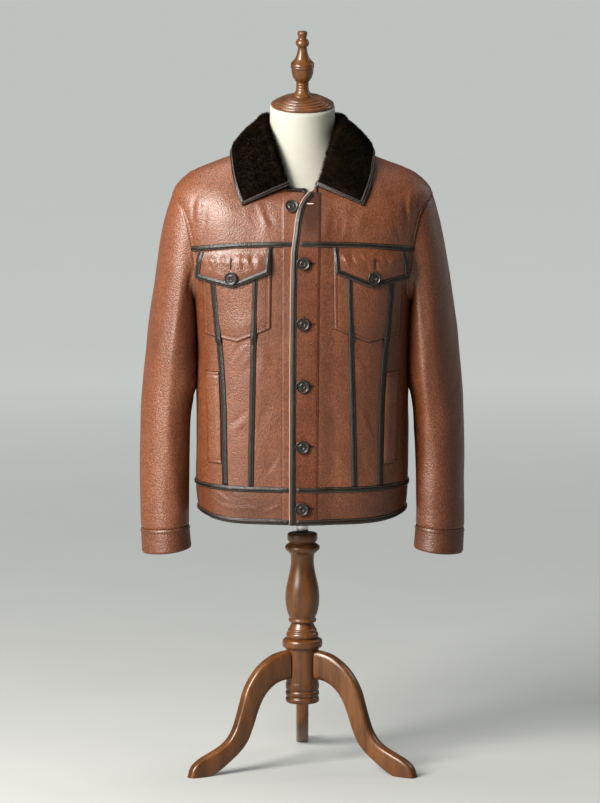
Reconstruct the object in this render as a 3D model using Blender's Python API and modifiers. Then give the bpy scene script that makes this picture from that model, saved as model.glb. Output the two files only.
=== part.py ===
"""Shearling trucker-cut jacket on a limbless dress form with a turned wooden tripod stand.

Metres, +Z up, the front towards -Y. "left" is the -X side and "right" the +X side. The jacket's outer face
is one surface, body(angle, level): the angle runs from 0 at the front centre to 90 at the side and 180 at
the back centre, and the level is the height of that ring at the front centre.
"""

import math

import bpy
import numpy as np
from mathutils import Vector

SHIFT_Y = -0.0494  # moves the whole to the middle of its own footprint
WALL = 0.0035  # shearling, skin and wool together
SEAM = 0.00015  # each piece stops this far short of its seam line
SEAT = 0.0006  # clearance of what lies on a panel
LAP = WALL + 0.0008  # how far the +X front lies over the other one
ROUND = 2.4  # exponent of the body's section
DEG = math.pi / 180
COLLECTION = "shearling jacket on dress form"
# colour, roughness, metallic
FINISH = {
    "leather": ((0.330, 0.118, 0.052), 0.48, 0.0),
    "trim": ((0.032, 0.022, 0.018), 0.36, 0.0),
    "fur": ((0.018, 0.011, 0.006), 0.95, 0.0),
    "horn": ((0.026, 0.018, 0.014), 0.30, 0.0),
    "wood": ((0.270, 0.112, 0.040), 0.35, 0.0),
    "cloth": ((0.800, 0.765, 0.660), 0.85, 0.0),
    "steel": ((0.560, 0.560, 0.560), 0.30, 1.0),
}

# level, half width, depth of the front, depth of the back, height at the side, height at the back
BODY = np.array(
    [
        (0.4644, 0.1895, 0.1215, 0.1160, 0.4790, 0.4644),
        (0.5285, 0.1930, 0.1250, 0.1200, 0.5295, 0.5285),
        (0.6200, 0.1925, 0.1270, 0.1205, 0.6200, 0.6200),
        (0.7000, 0.1925, 0.1285, 0.1215, 0.7000, 0.7000),
        (0.8000, 0.1940, 0.1300, 0.1235, 0.8000, 0.8000),
        (0.8500, 0.1985, 0.1300, 0.1245, 0.8510, 0.8510),
        (0.8800, 0.2055, 0.1298, 0.1250, 0.8850, 0.8850),
        (0.9200, 0.2170, 0.1290, 0.1250, 0.9300, 0.9320),
        (0.9715, 0.2285, 0.1262, 0.1235, 0.9900, 0.9970),
        (1.0000, 0.2335, 0.1215, 0.1180, 1.0280, 1.0370),
        (1.0200, 0.2345, 0.1150, 0.1080, 1.0540, 1.0680),
        (1.0340, 0.2260, 0.1090, 0.0980, 1.0715, 1.0880),
        (1.0450, 0.1980, 0.1030, 0.0890, 1.0940, 1.1050),
        (1.0530, 0.1540, 0.0960, 0.0790, 1.1120, 1.1200),
        (1.0590, 0.1200, 0.0900, 0.0720, 1.1240, 1.1300),
        (1.0640, 0.0900, 0.0840, 0.0660, 1.1330, 1.1390),
    ]
)
HEM, HEM_SEAM, UNDERARM, SHOULDER, NECK = 0.4644, 0.5285, 0.8520, 1.0220, 1.0640

# level, angle of the armhole seam on the front
ARMHOLE = np.array(
    [
        (0.8520, 90.0),
        (0.8560, 80.5),
        (0.8640, 73.0),
        (0.8760, 67.2),
        (0.8950, 63.4),
        (0.9200, 61.3),
        (0.9480, 60.4),
        (0.9750, 60.8),
        (0.9970, 63.4),
        (1.0105, 70.0),
        (1.0220, 90.0),
    ]
)
ARM_LEVELS = [row[0] for row in ARMHOLE]

# height, x of the closing edge of the +X front
EDGE = np.array(
    [
        (0.4644, -0.0225),
        (0.8000, -0.0212),
        (0.9530, -0.0187),
        (0.9870, -0.0145),
        (1.0100, -0.0118),
        (1.0340, -0.0060),
        (1.0497, 0.0030),
        (1.0587, 0.0120),
        (1.0640, 0.0215),
    ]
)
UNDER_EDGE = np.array([(0.4644, 0.0120), (1.0300, 0.0120), (1.0640, 0.0050)])
# height, distance of the two long seams from the centre
SEAM_IN = np.array([(0.4644, 0.0935), (0.5380, 0.0930), (0.6857, 0.0897), (0.9060, 0.0842), (1.0000, 0.0820)])
SEAM_OUT = np.array([(0.4644, 0.139), (0.5380, 0.1396), (0.7000, 0.143), (0.9000, 0.158), (1.0000, 0.168)])
# distance from the centre, height of the yoke seam
YOKE = np.array([(0.0000, 0.9718), (0.0900, 0.9698), (0.1500, 0.9650), (0.2000, 0.9580), (0.2400, 0.9510)])


def between(table, value):
    """The other columns of a table at one value of its first, on a smooth line through its rows."""
    first = table[:, 0]
    value = min(max(value, first[0]), first[-1])
    k = int(np.clip(np.searchsorted(first, value, side="right") - 1, 0, len(first) - 2))
    step = first[k + 1] - first[k]
    here = (table[k + 1] - table[k]) / step
    before = (table[k + 1] - table[k - 1]) / (first[k + 1] - first[k - 1]) if k > 0 else here
    after = (table[k + 2] - table[k]) / (first[k + 2] - first[k]) if k + 2 < len(first) else here
    t = (value - first[k]) / step
    smooth = (2 * t**3 - 3 * t**2 + 1) * table[k] + (3 * t**2 - 2 * t**3) * table[k + 1]
    smooth = smooth + ((t**3 - 2 * t**2 + t) * before + (t**3 - t**2) * after) * step
    return smooth[1] if len(smooth) == 2 else smooth[1:]


def ease(low, high, value):
    t = min(max((value - low) / (high - low), 0.0), 1.0)
    return t * t * (3 - 2 * t)


def unit(vector):
    return vector / max(np.linalg.norm(vector), 1e-12)


def body(angle, level):
    """A point of the jacket's outer surface; the angle is in degrees, negative on the -X side."""
    half, front, back, z_side, z_back = between(BODY, level)
    s, c = math.sin(angle * DEG), math.cos(angle * DEG)
    x = half * math.copysign(abs(s) ** (2 / ROUND), s)
    y = (-front if c > 0 else back) * abs(c) ** (2 / ROUND)
    centre = level if c > 0 else z_back
    share = s * s if level > HEM_SEAM else (s * s) ** 2.5
    return np.array([x, y, centre + (z_side - centre) * share])


def normal(angle, level):
    low, high = max(level - 0.0006, HEM), min(level + 0.0006, NECK)
    along = body(angle + 0.4, level) - body(angle - 0.4, level)
    return unit(np.cross(along, body(angle, high) - body(angle, low)))


def angle_at(x, level):
    half = between(BODY, level)[0]
    share = min(abs(x) / half, 1.0)
    return math.copysign(math.asin(share ** (ROUND / 2)) / DEG, x)


def spot(x, z, back=False):
    """The angle and the level of the surface point that is seen at x and z from the front or the back."""
    low, high = HEM, NECK
    for _ in range(34):
        level = (low + high) / 2
        angle = angle_at(x, level)
        angle = math.copysign(180, x) - angle if back else angle
        beyond = level > SHOULDER and abs(x) > between(BODY, level)[0]
        beyond = beyond or body(angle, level)[2] > z
        low, high = (low, level) if beyond else (level, high)
    return angle, level


def on_body(x, z, out, back=False):
    angle, level = spot(x, z, back)
    return body(angle, level) + normal(angle, level) * out


def arm_angle(level):
    """The angle where a row of the fronts ends: the side seam, the armhole or the shoulder seam."""
    inside = UNDERARM < level < SHOULDER
    return min(between(ARMHOLE, level), 90.0) if inside else 90.0


def arm_angle_back(level):
    return 180 - (90 - 0.85 * (90 - arm_angle(level)))


def yoke_level(angle):
    level = 0.96
    for _ in range(25):
        point = body(angle, level)
        level += 0.7 * (between(YOKE, abs(point[0])) - point[2])
    return level


# ---------------------------------------------------------------- meshes


def material_of(name):
    """The Principled material of a kind; the kinds are the rows of FINISH."""
    if name not in bpy.data.materials:
        colour, roughness, metallic = FINISH[name]
        made = bpy.data.materials.new(name)
        made.use_nodes = True
        shader = made.node_tree.nodes["Principled BSDF"]
        shader.inputs["Base Color"].default_value = (*colour, 1.0)
        shader.inputs["Roughness"].default_value = roughness
        shader.inputs["Metallic"].default_value = metallic
    return bpy.data.materials[name]


def add(name, data, finish):
    """An object in the part's collection, under the empty that carries the whole."""
    data.materials.append(material_of(finish))
    made = bpy.data.objects.new(name, data)
    made.parent = bpy.data.objects["whole"]
    bpy.data.collections[COLLECTION].objects.link(made)
    return made


def solid(name, points, faces, finish):
    """One closed mesh object, turned so that its faces look outwards."""
    points = np.array(points, float)
    volume = 0.0
    for face in faces:
        for k in range(1, len(face) - 1):
            volume += np.dot(points[face[0]], np.cross(points[face[k]], points[face[k + 1]]))
    if volume < 0:
        faces = [tuple(reversed(face)) for face in faces]
    mesh = bpy.data.meshes.new(name)
    mesh.from_pydata([tuple(p) for p in points], [], [tuple(f) for f in faces])
    mesh.shade_smooth()
    mesh.set_sharp_from_angle(angle=40 * DEG)
    add(name, mesh, finish)


def wall(name, outer, inner, finish, ring=False):
    """A closed wall between two grids of points; with ring, each row closes on itself."""
    rows, columns = len(outer), len(outer[0])
    points = [p for row in outer for p in row] + [p for row in inner for p in row]
    shift = rows * columns
    steps = columns if ring else columns - 1
    faces = []
    for r in range(rows - 1):
        for c in range(steps):
            a, b = r * columns + c, r * columns + (c + 1) % columns
            faces.append((a, b, b + columns, a + columns))
            faces.append((a + shift, a + columns + shift, b + columns + shift, b + shift))
    for c in range(steps):
        a, b = c, (c + 1) % columns
        faces.append((b, a, a + shift, b + shift))
        a, b = a + (rows - 1) * columns, b + (rows - 1) * columns
        faces.append((a, b, b + shift, a + shift))
    if not ring:
        for r in range(rows - 1):
            a, b = r * columns, (r + 1) * columns
            faces.append((a, b, b + shift, a + shift))
            a, b = a + columns - 1, b + columns - 1
            faces.append((b, a, a + shift, b + shift))
    solid(name, points, faces, finish)


def lofted(name, rings, finish):
    """A solid through rings of equally many points, closed with a flat face at both ends."""
    count = len(rings[0])
    points = [p for ring in rings for p in ring]
    faces = [tuple(range(count)), tuple(reversed(range(len(points) - count, len(points))))]
    for r in range(len(rings) - 1):
        for c in range(count):
            a, b = r * count + c, r * count + (c + 1) % count
            faces.append((b, a, a + count, b + count))
    solid(name, points, faces, finish)


def turned(name, profile, steps, finish):
    """A turned solid: a profile of radius and height, bottom first, spun about the object's own axis."""
    line = [(0.0, profile[0][1])] + list(profile) + [(0.0, profile[-1][1])]
    line.reverse()
    mesh = bpy.data.meshes.new(name)
    edges = [(k, k + 1) for k in range(len(line) - 1)]
    mesh.from_pydata([(radius, 0.0, height) for radius, height in line], edges, [])
    made = add(name, mesh, finish)
    spin = made.modifiers.new("spin", "SCREW")
    spin.steps = spin.render_steps = steps
    spin.use_merge_vertices = True
    spin.merge_threshold = 0.00005
    return made


# ---------------------------------------------------------------- jacket panels


def lap(x):
    return LAP * (1 - ease(0.026, 0.060, x))


def grid_of(levels, first, last, height, columns):
    """Angle and level of each point: first and last give a row's ends, height bends the row."""
    rows = []
    for nominal in levels:
        row = []
        for k in range(columns + 1):
            level = nominal
            for _ in range(14):
                start, end = first(level), last(level)
                angle = start + (end - start) * k / columns
                level = height(nominal, angle)
            row.append((angle, level))
        rows.append(row)
    return rows


def drawn_in(grid):
    """The same grid with its outline moved in by the seam allowance, measured on the surface."""
    moved = [list(row) for row in grid]
    for r, row in enumerate(grid):
        for c, (angle, level) in enumerate(row):
            across = np.linalg.norm(body(angle + 0.5, level) - body(angle - 0.5, level))
            step = SEAM / across
            turn = step if c == 0 else -step if c == len(row) - 1 else 0.0
            turn *= math.copysign(1, row[-1][0] - row[0][0])
            rise = SEAM if r == 0 else -SEAM if r == len(grid) - 1 else 0.0
            moved[r][c] = (angle + turn, min(max(level + rise, HEM), NECK))
    return moved


def panel(name, grid, side, lapped=False):
    outer, inner = [], []
    for row in drawn_in(grid):
        high, low = [], []
        for angle, level in row:
            point, out = body(angle, level), normal(angle, level)
            lift = lap(point[0]) if lapped and abs(angle) < 90 else 0.0
            flip = np.array([side, 1, 1])
            high.append((point + out * lift) * flip)
            low.append((point + out * (lift - WALL)) * flip)
        outer.append(high)
        inner.append(low)
    wall(name, outer, inner, "leather")


def below_yoke(nominal, angle):
    top = ARM_LEVELS[6]
    if nominal <= 0.9:
        return nominal
    return 0.9 + (nominal - 0.9) * (yoke_level(angle) - 0.9) / (top - 0.9)


def above_yoke(nominal, angle):
    low = ARM_LEVELS[6]
    if nominal >= SHOULDER:
        return nominal
    start = yoke_level(angle)
    return start + (nominal - low) * (SHOULDER - start) / (SHOULDER - low)


def make_fronts():
    lower = [HEM_SEAM, 0.60, 0.68, 0.76, 0.82] + ARM_LEVELS[:7]
    plain = [HEM_SEAM, 0.58, 0.64, 0.70, 0.76, 0.82, 0.87, 0.91, ARM_LEVELS[6]]
    upper = ARM_LEVELS[6:] + [1.034, 1.045, 1.053, 1.059, NECK]
    for word, side, edge in (("left", -1, UNDER_EDGE), ("right", 1, EDGE)):

        def closing(level, edge=edge, side=side):
            return angle_at(side * between(edge, level), level)

        def inner_seam(level):
            return angle_at(between(SEAM_IN, level), level)

        def outer_seam(level):
            return angle_at(between(SEAM_OUT, level), level)

        lapped = side > 0
        grid = grid_of(plain, closing, inner_seam, below_yoke, 6)
        panel(f"front_centre_{word}", grid, side, lapped)
        grid = grid_of(plain, inner_seam, outer_seam, below_yoke, 4)
        panel(f"front_middle_{word}", grid, side)
        grid = grid_of(lower, outer_seam, arm_angle, below_yoke, 8)
        panel(f"front_side_{word}", grid, side)
        grid = grid_of(upper, closing, arm_angle, above_yoke, 12)
        panel(f"front_yoke_{word}", grid, side, lapped)
        grid = grid_of([HEM, 0.4965, HEM_SEAM], closing, lambda level: 90.0, lambda n, a: n, 16)
        panel(f"hem_band_{word}", grid, side, lapped)


def make_back():
    levels = [HEM_SEAM, 0.62, 0.70, 0.78, 0.82] + ARM_LEVELS + [1.034, 1.045, 1.053, 1.059, NECK]

    def start(level):
        return arm_angle_back(level)

    def end(level):
        return 360 - arm_angle_back(level)

    def flat(nominal, angle):
        return nominal

    panel("back", grid_of(levels, start, end, flat, 16), 1)
    grid = grid_of([HEM, 0.4965, HEM_SEAM], lambda n: 90.0, lambda n: 270.0, flat, 24)
    panel("hem_band_back", grid, 1)


# ---------------------------------------------------------------- sleeves

# height, outer edge seen from the front, half of the width seen from the front, half depth, middle in y
SLEEVE = np.array(
    [
        (0.3930, 0.2925, 0.0452, 0.0530, -0.0240),
        (0.4450, 0.2942, 0.0442, 0.0530, -0.0185),
        (0.5613, 0.2957, 0.0450, 0.0570, -0.0090),
        (0.6423, 0.2942, 0.0458, 0.0610, -0.0045),
        (0.7230, 0.2892, 0.0473, 0.0650, -0.0020),
        (0.7853, 0.2833, 0.0442, 0.0670, -0.0010),
        (0.8400, 0.2775, 0.0400, 0.0680, 0.0000),
    ]
)
SLEEVE_TOP = 0.8400
SLEEVE_TURN = 18.0  # the front of the section turns this much towards the body
CUFF_SEAM, CUFF_END = 0.4480, 0.4055


def sleeve_point(turn, z):
    """The sleeve's outer surface: turn 0 is the outer side and a quarter turn the front."""
    edge, span, deep, middle = between(SLEEVE, z)
    s, c = math.sin(SLEEVE_TURN * DEG), math.cos(SLEEVE_TURN * DEG)
    wide = math.sqrt(span**2 - (deep * s) ** 2) / c
    u, v = wide * math.cos(turn), deep * math.sin(turn)
    return np.array([edge - span + u * c - v * s, middle - v * c - u * s, z])


def arm_loop():
    """Angle and level round the armhole from the shoulder down the front and up the back."""
    front = [(arm_angle(level), level) for level in reversed(ARM_LEVELS)]
    back = [(arm_angle_back(level), level) for level in ARM_LEVELS]
    return front + back[1:-1]


def sleeve_grid():
    loop = arm_loop()
    points = [body(angle, level) for angle, level in loop]
    lengths = [0.0]
    for k in range(len(points)):
        lengths.append(lengths[-1] + np.linalg.norm(points[(k + 1) % len(points)] - points[k]))
    half = len(ARM_LEVELS) - 1
    turns = []
    for k in range(len(points)):
        if k <= half:
            turns.append(math.pi * lengths[k] / lengths[half])
        else:
            turns.append(math.pi * (1 + (lengths[k] - lengths[half]) / (lengths[-1] - lengths[half])))
    centre = np.mean(points, axis=0)
    rows = []
    for step in (0.0, 0.04, 0.18, 0.40, 0.66, 1.0):
        row = []
        for point, turn in zip(points, turns):
            end = sleeve_point(turn, SLEEVE_TOP)
            low = (1 - math.cos(turn)) / 2
            lift = np.array([0.0105, 0, 0.0110]) * low**2
            start = point + unit(point - centre) * np.array([0, 1, 1]) * -0.0004
            bend = np.array([start[0] + (end[0] - start[0]) * 0.60, 0, start[2] + (end[2] - start[2]) * 0.27])
            bend[1] = start[1] * 0.55 + end[1] * 0.45
            bend = bend + lift
            row.append(start * (1 - step) ** 2 + bend * 2 * step * (1 - step) + end * step**2)
        rows.append(row)
    for z in (0.785, 0.715, 0.64, 0.57, 0.51, CUFF_SEAM + 0.0002):
        tilt = 0.0035 if z < 0.45 else 0.0
        rows.append([sleeve_point(turn, z) - np.array([0, 0, tilt * math.cos(turn)]) for turn in turns])
    return rows, [normal(angle, level) for angle, level in loop], turns


def surface_normals(rows):
    """Outward unit normals of a grid whose rows are closed rings."""
    found = []
    for r, row in enumerate(rows):
        up, down = rows[max(r - 1, 0)], rows[min(r + 1, len(rows) - 1)]
        line = []
        for c in range(len(row)):
            along = row[(c + 1) % len(row)] - row[c - 1]
            line.append(unit(np.cross(down[c] - up[c], along)))
        found.append(line)
    return found


def make_sleeves():
    rows, first, turns = sleeve_grid()
    out = surface_normals(rows)
    if np.dot(out[-1][0], (1, 0, 0)) < 0:
        out = [[-n for n in line] for line in out]
    out[0] = first
    inner = [[p - n * WALL for p, n in zip(row, line)] for row, line in zip(rows, out)]
    for word, side in (("left", -1), ("right", 1)):
        flip = np.array([side, 1, 1])
        wall(
            f"sleeve_{word}",
            [[p * flip for p in row] for row in rows],
            [[p * flip for p in row] for row in inner],
            "leather",
            ring=True,
        )
        cuff_out, cuff_in = [], []
        for share in (0.0, 0.5, 1.0):
            z = CUFF_SEAM - 0.0002 + (CUFF_END - CUFF_SEAM) * share
            tilt = 0.0035 + 0.002 * share
            high, low = [], []
            for turn in turns:
                point = sleeve_point(turn, z) - np.array([0, 0, tilt * math.cos(turn)])
                axis = sleeve_point(turn, z) - (sleeve_point(0, z) + sleeve_point(math.pi, z)) / 2
                axis = unit(axis * np.array([1, 1, 0]))
                high.append((point + axis * 0.0004) * flip)
                low.append((point - axis * (WALL + 0.0006)) * flip)
            cuff_out.append(high)
            cuff_in.append(low)
        wall(f"cuff_{word}", cuff_out, cuff_in, "leather", ring=True)


# ---------------------------------------------------------------- pieces that lie on the fronts


def strip(name, left, right, base, thick):
    """A flat strip on the front: two lines of (x, z), the clearance below it and its thickness."""
    outer, inner = [], []
    for (xa, za), (xb, zb) in zip(left, right):
        ends = ((xa, za), (xb, zb))
        outer.append([on_body(x, z, base(x, z) + thick) for x, z in ends])
        inner.append([on_body(x, z, base(x, z)) for x, z in ends])
    wall(name, outer, inner, "trim")


def patch(name, rows, base, thick):
    outer = [[on_body(x, z, base(x, z) + thick) for x, z in row] for row in rows]
    inner = [[on_body(x, z, base(x, z)) for x, z in row] for row in rows]
    wall(name, outer, inner, "leather")


def spread(low, high, count):
    return [low + (high - low) * k / count for k in range(count + 1)]


POCKET = 0.0022
STRIP, STRIP_HALF = 0.0014, 0.0052
FLAP = 0.0024
BINDING, BINDING_WIDTH = 0.0012, 0.0112
# distance from the centre, height: the pocket's and the flap's outlines
POCKET_TOP = 0.9420
POCKET_LOW = np.array([(0.0572, 0.8208), (0.1176, 0.7945), (0.1755, 0.8060)])
FLAP_HIGH = np.array([(0.0545, 0.9645), (0.1190, 0.9610), (0.1835, 0.9515)])
FLAP_LOW = np.array([(0.0580, 0.9195), (0.1222, 0.8928), (0.1868, 0.9075)])
# distance from the centre of the two sides, at the lower and at the upper edge
POCKET_SIDES = (0.0572, 0.1755), (0.0555, 0.1795)
FLAP_SIDES = (0.0580, 0.1868), (0.0545, 0.1835)
# the trim along the flap's sides and lower edge: its outer and its inner line
FLAP_RIM = [
    (0.0545, 0.9640), (0.0557, 0.9490), (0.0569, 0.9340), (0.0580, 0.9195), (0.0800, 0.9104),
    (0.1010, 0.9016), (0.1222, 0.8928), (0.1440, 0.8978), (0.1655, 0.9027), (0.1868, 0.9075),
    (0.1858, 0.9215), (0.1847, 0.9365), (0.1836, 0.9510),
]
FLAP_RIM_INSIDE = [
    (0.0635, 0.9630), (0.0646, 0.9490), (0.0657, 0.9340), (0.0666, 0.9262), (0.0845, 0.9186),
    (0.1032, 0.9108), (0.1218, 0.9030), (0.1412, 0.9074), (0.1598, 0.9117), (0.1778, 0.9158),
    (0.1769, 0.9270), (0.1757, 0.9390), (0.1746, 0.9515),
]
TRIM = 0.0011


def halved(path):
    """The path with a further point in the middle of each of its longer steps."""
    fuller = [path[0]]
    for before, after in zip(path, path[1:]):
        if abs(after[0] - before[0]) > 0.012:
            fuller.append(((before[0] + after[0]) / 2, (before[1] + after[1]) / 2))
        fuller.append(after)
    return fuller


def straight(table, x):
    return float(np.interp(x, table[:, 0], table[:, 1]))


def pocket_rise(z, x):
    """How far a strip stands off the panel where it runs over a pocket."""
    low = straight(POCKET_LOW, x)
    return (POCKET + SEAT + 0.0002) * ease(low - 0.020, low - 0.005, z)


def outline(sides, low, high, parts, shares, side):
    """Rows of (x, z) between a lower edge, a table, and an upper edge, a function of the distance."""
    rows = []
    for share in shares:
        row = []
        for part in parts:
            x_low, x_high = (ends[0] + (ends[1] - ends[0]) * part for ends in sides)
            z_low, z_high = straight(low, x_low), high(x_high)
            row.append((side * (x_low + (x_high - x_low) * share), z_low + (z_high - z_low) * share))
        rows.append(row)
    return rows


def make_pockets(word, side):
    parts = (0, 0.14, 0.28, 0.40, 0.51, 0.64, 0.76, 0.86, 0.94, 1)
    rows = outline(POCKET_SIDES, POCKET_LOW, lambda x: POCKET_TOP, parts, spread(0, 1, 5), side)
    patch(f"pocket_{word}", rows, lambda x, z: SEAT + 0.0002 + lap(abs(x)) * (side > 0), POCKET)

    def over_pocket(x, z):
        full = POCKET + STRIP + 3 * SEAT + 0.0002
        return SEAT + (full - SEAT) * (1 - ease(0.936, 0.958, z)) + lap(abs(x)) * (side > 0)

    shares = (0, 0.25, 0.5, 0.68, 0.79, 0.89, 1)
    rows = outline(FLAP_SIDES, FLAP_LOW, lambda x: straight(FLAP_HIGH, x), spread(0, 1, 10), shares, side)
    patch(f"flap_{word}", rows, over_pocket, FLAP)

    left = [(side * x, z) for x, z in halved(FLAP_RIM)]
    right = [(side * x, z) for x, z in halved(FLAP_RIM_INSIDE)]
    strip(f"flap_trim_{word}", left, right, lambda x, z: over_pocket(x, z) + FLAP + SEAT + 0.0004, TRIM)


def make_strips():
    half = STRIP_HALF
    for word, side in (("left", -1), ("right", 1)):
        for kind, table, top in (("inner", SEAM_IN, 0.9300), ("outer", SEAM_OUT, 0.9280)):
            heights = [0.5343, 0.60, 0.68, 0.74, 0.772, 0.784, 0.795, 0.806, 0.85, 0.89, top]
            left = [(side * (between(table, z) - half), z) for z in heights]
            right = [(side * (between(table, z) + half), z) for z in heights]

            def base(x, z, side=side):
                return SEAT + pocket_rise(z, abs(x)) + lap(abs(x)) * (side > 0)

            strip(f"strip_{kind}_{word}", left, right, base, STRIP)

        def beside(z, extra):
            return side * (between(SEAM_OUT, z) + extra)

        heights = spread(0.5720, 0.7380, 6)
        left = [(beside(z, half + 0.0006), z) for z in heights]
        right = [(beside(z, half + 0.0246), z) for z in heights]
        middle = [(beside(z, half + 0.0126), z) for z in heights]
        patch(f"welt_{word}", [list(row) for row in zip(left, middle, right)], lambda x, z: SEAT, 0.0022)

        start = 0.0180 if side < 0 else -0.0040
        xs = [start + (0.1985 - start) * (1 - (1 - k / 15) ** 1.25) for k in range(16)]

        def upon(x, z, side=side):
            return SEAT + lap(x * side) * (side > 0)

        left = [(side * x, between(YOKE, abs(x)) - half) for x in xs]
        right = [(side * x, between(YOKE, abs(x)) + half) for x in xs]
        strip(f"yoke_strip_{word}", left, right, upon, STRIP)


def make_front_binding():
    heights = [0.4650, 0.53, 0.60, 0.68, 0.76, 0.84, 0.90, 0.953, 0.972, 0.987, 1.000, 1.010, 1.022, 1.034]
    heights += [1.043, 1.0505, 1.0565, 1.0605]
    left = [(between(EDGE, z) - 0.0003, z) for z in heights]
    right = []
    for k, (x, z) in enumerate(left):
        before, after = left[max(k - 1, 0)], left[min(k + 1, len(left) - 1)]
        along = unit(np.array([after[0] - before[0], after[1] - before[1]]))
        right.append((x + along[1] * BINDING_WIDTH, max(z - along[0] * BINDING_WIDTH, heights[0])))
    strip("front_edge_binding", left, right, lambda x, z: SEAT + lap(x), BINDING)


def round_strip(name, low, high, thick):
    """A strip round the hem from the under front over the back to the closing edge."""
    start, end = angle_at(-0.0233, low), -360 + angle_at(-0.0105, low)
    angles = [start] + [-90.0 * k / 16 for k in range(2, 17)] + [-90 - 180 * k / 24 for k in range(1, 25)]
    angles += [-270 - 90 * k / 16 for k in range(1, 16)] + [end]
    outer, inner = [], []
    for angle in angles:
        outward, inward = [], []
        for level in (low, high):
            point, out = body(angle, level), normal(angle, level)
            lift = SEAT + (lap(point[0]) if angle < -270 else 0.0)
            outward.append(point + out * (lift + thick))
            inward.append(point + out * lift)
        outer.append(outward)
        inner.append(inward)
    wall(name, outer, inner, "trim")


# ---------------------------------------------------------------- collar

# Stations from the back centre to the front end of the +X side. neck: angle on the stand's upper ring;
# rx ry rz: middle of the roll; ex ez: outer edge as seen from the front (the first four from the back)
COLLAR = np.array(
    [
        # station, neck, rx, ry, rz, ex, ez, roll radius, bulge
        (0.0, 180.0, 0.0000, 0.0650, 1.1865, 0.0000, 1.0850, 0.0060, 0.0080),
        (1.0, 150.0, 0.0350, 0.0575, 1.1865, 0.0680, 1.0900, 0.0060, 0.0075),
        (2.0, 120.0, 0.0610, 0.0335, 1.1860, 0.1120, 1.1030, 0.0060, 0.0060),
        (3.0, 90.0, 0.0715, -0.0040, 1.1840, 0.1250, 1.1185, 0.0060, 0.0040),
        (4.0, 65.0, 0.0680, -0.0340, 1.1710, 0.1257, 1.1030, 0.0060, 0.0040),
        (5.0, 42.0, 0.0570, -0.0620, 1.1450, 0.1235, 1.0830, 0.0060, 0.0040),
        (6.0, 25.0, 0.0432, -0.0805, 1.1060, 0.1175, 1.0600, 0.0052, 0.0035),
        (7.0, 13.5, 0.0268, -0.0880, 1.0722, 0.1078, 1.0378, 0.0034, 0.0020),
    ]
)
COLLAR_END = 7.0
COLLAR_TRIM = 0.23  # stations that the binding takes at the front ends
FUR = 0.0090


def stand_ring(angle, height):
    """The collar stand: above the neck seam and leaning in."""
    point = body(angle, NECK)
    lean = height / 0.012
    shrink = np.array([1 - 0.065 * lean, 1 - 0.045 * lean, 1])
    return point * shrink + np.array([0, 0, height])


def stand_height(angle):
    return 0.0045 + 0.0075 * ease(14, 60, abs(angle))


def full_pile(station):
    """Share of the pile's thickness that is left towards the flattened front ends."""
    return 1 - 0.34 * ease(5.2, COLLAR_END, abs(station))


def collar_line(station):
    """One section of the collar's middle surface from the stand over the roll to the outer edge."""
    neck, rx, ry, rz, ex, ez, radius, bulge = between(COLLAR, station)
    ahead, behind = between(COLLAR, min(station + 0.1, COLLAR_END)), between(COLLAR, max(station - 0.1, 0.0))
    along = unit(ahead[1:4] - behind[1:4])
    if station < 0.05:
        along = np.array([1.0, 0.0, 0.0])
    up = unit(np.array([0, 0, 1.0]) - along * along[2])
    out = np.cross(along, up)
    if np.dot(out, (rx, ry + 0.01, 0)) < 0:
        out = -out
    roll = np.array([rx, ry, rz])
    foot = stand_ring(neck, stand_height(neck) + 0.0030)
    back = 1 - ease(3.0, 3.6, station)
    clear = SEAT + FUR / 2 * full_pile(station)
    clear += 0.0060 * ease(2.0, 3.1, station) * (1 - ease(3.5, 4.6, station))
    edge_front = on_body(ex, ez, clear) if back < 1 else 0.0
    edge_back = on_body(ex, min(ez, 1.1185), clear, back=True) if back > 0 else 0.0
    edge = edge_front * (1 - back) + edge_back * back
    line = [foot, foot * 0.5 + (roll - out * radius) * 0.5]
    for turn in (0, 45, 90, 135, 180):
        line.append(roll - out * radius * math.cos(turn * DEG) + up * radius * math.sin(turn * DEG))
    start = line[-1]
    chord = edge - start
    swell = unit(up - unit(chord) * np.dot(up, unit(chord)))
    for share in (0.16, 0.36, 0.58, 0.80, 1.0):
        line.append(start + chord * share + swell * bulge * math.sin(math.pi * share))
    return line


def collar_sheet(stations, cut=0.0):
    """Grid of middle points; cut shortens every section at its outer edge by that length."""
    rows = []
    for station in stations:
        line = collar_line(abs(station))
        if cut:
            line[-1] = line[-1] + unit(line[-2] - line[-1]) * cut
        rows.append([p * np.array([1 if station >= 0 else -1, 1, 1]) for p in line])
    return rows


def sheet_normals(rows):
    found = []
    for r, row in enumerate(rows):
        before, after = rows[max(r - 1, 0)], rows[min(r + 1, len(rows) - 1)]
        line = []
        for c in range(len(row)):
            low, high = row[max(c - 1, 0)], row[min(c + 1, len(row) - 1)]
            line.append(unit(np.cross(after[c] - before[c], high - low)))
        found.append(line)
    return found


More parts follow.
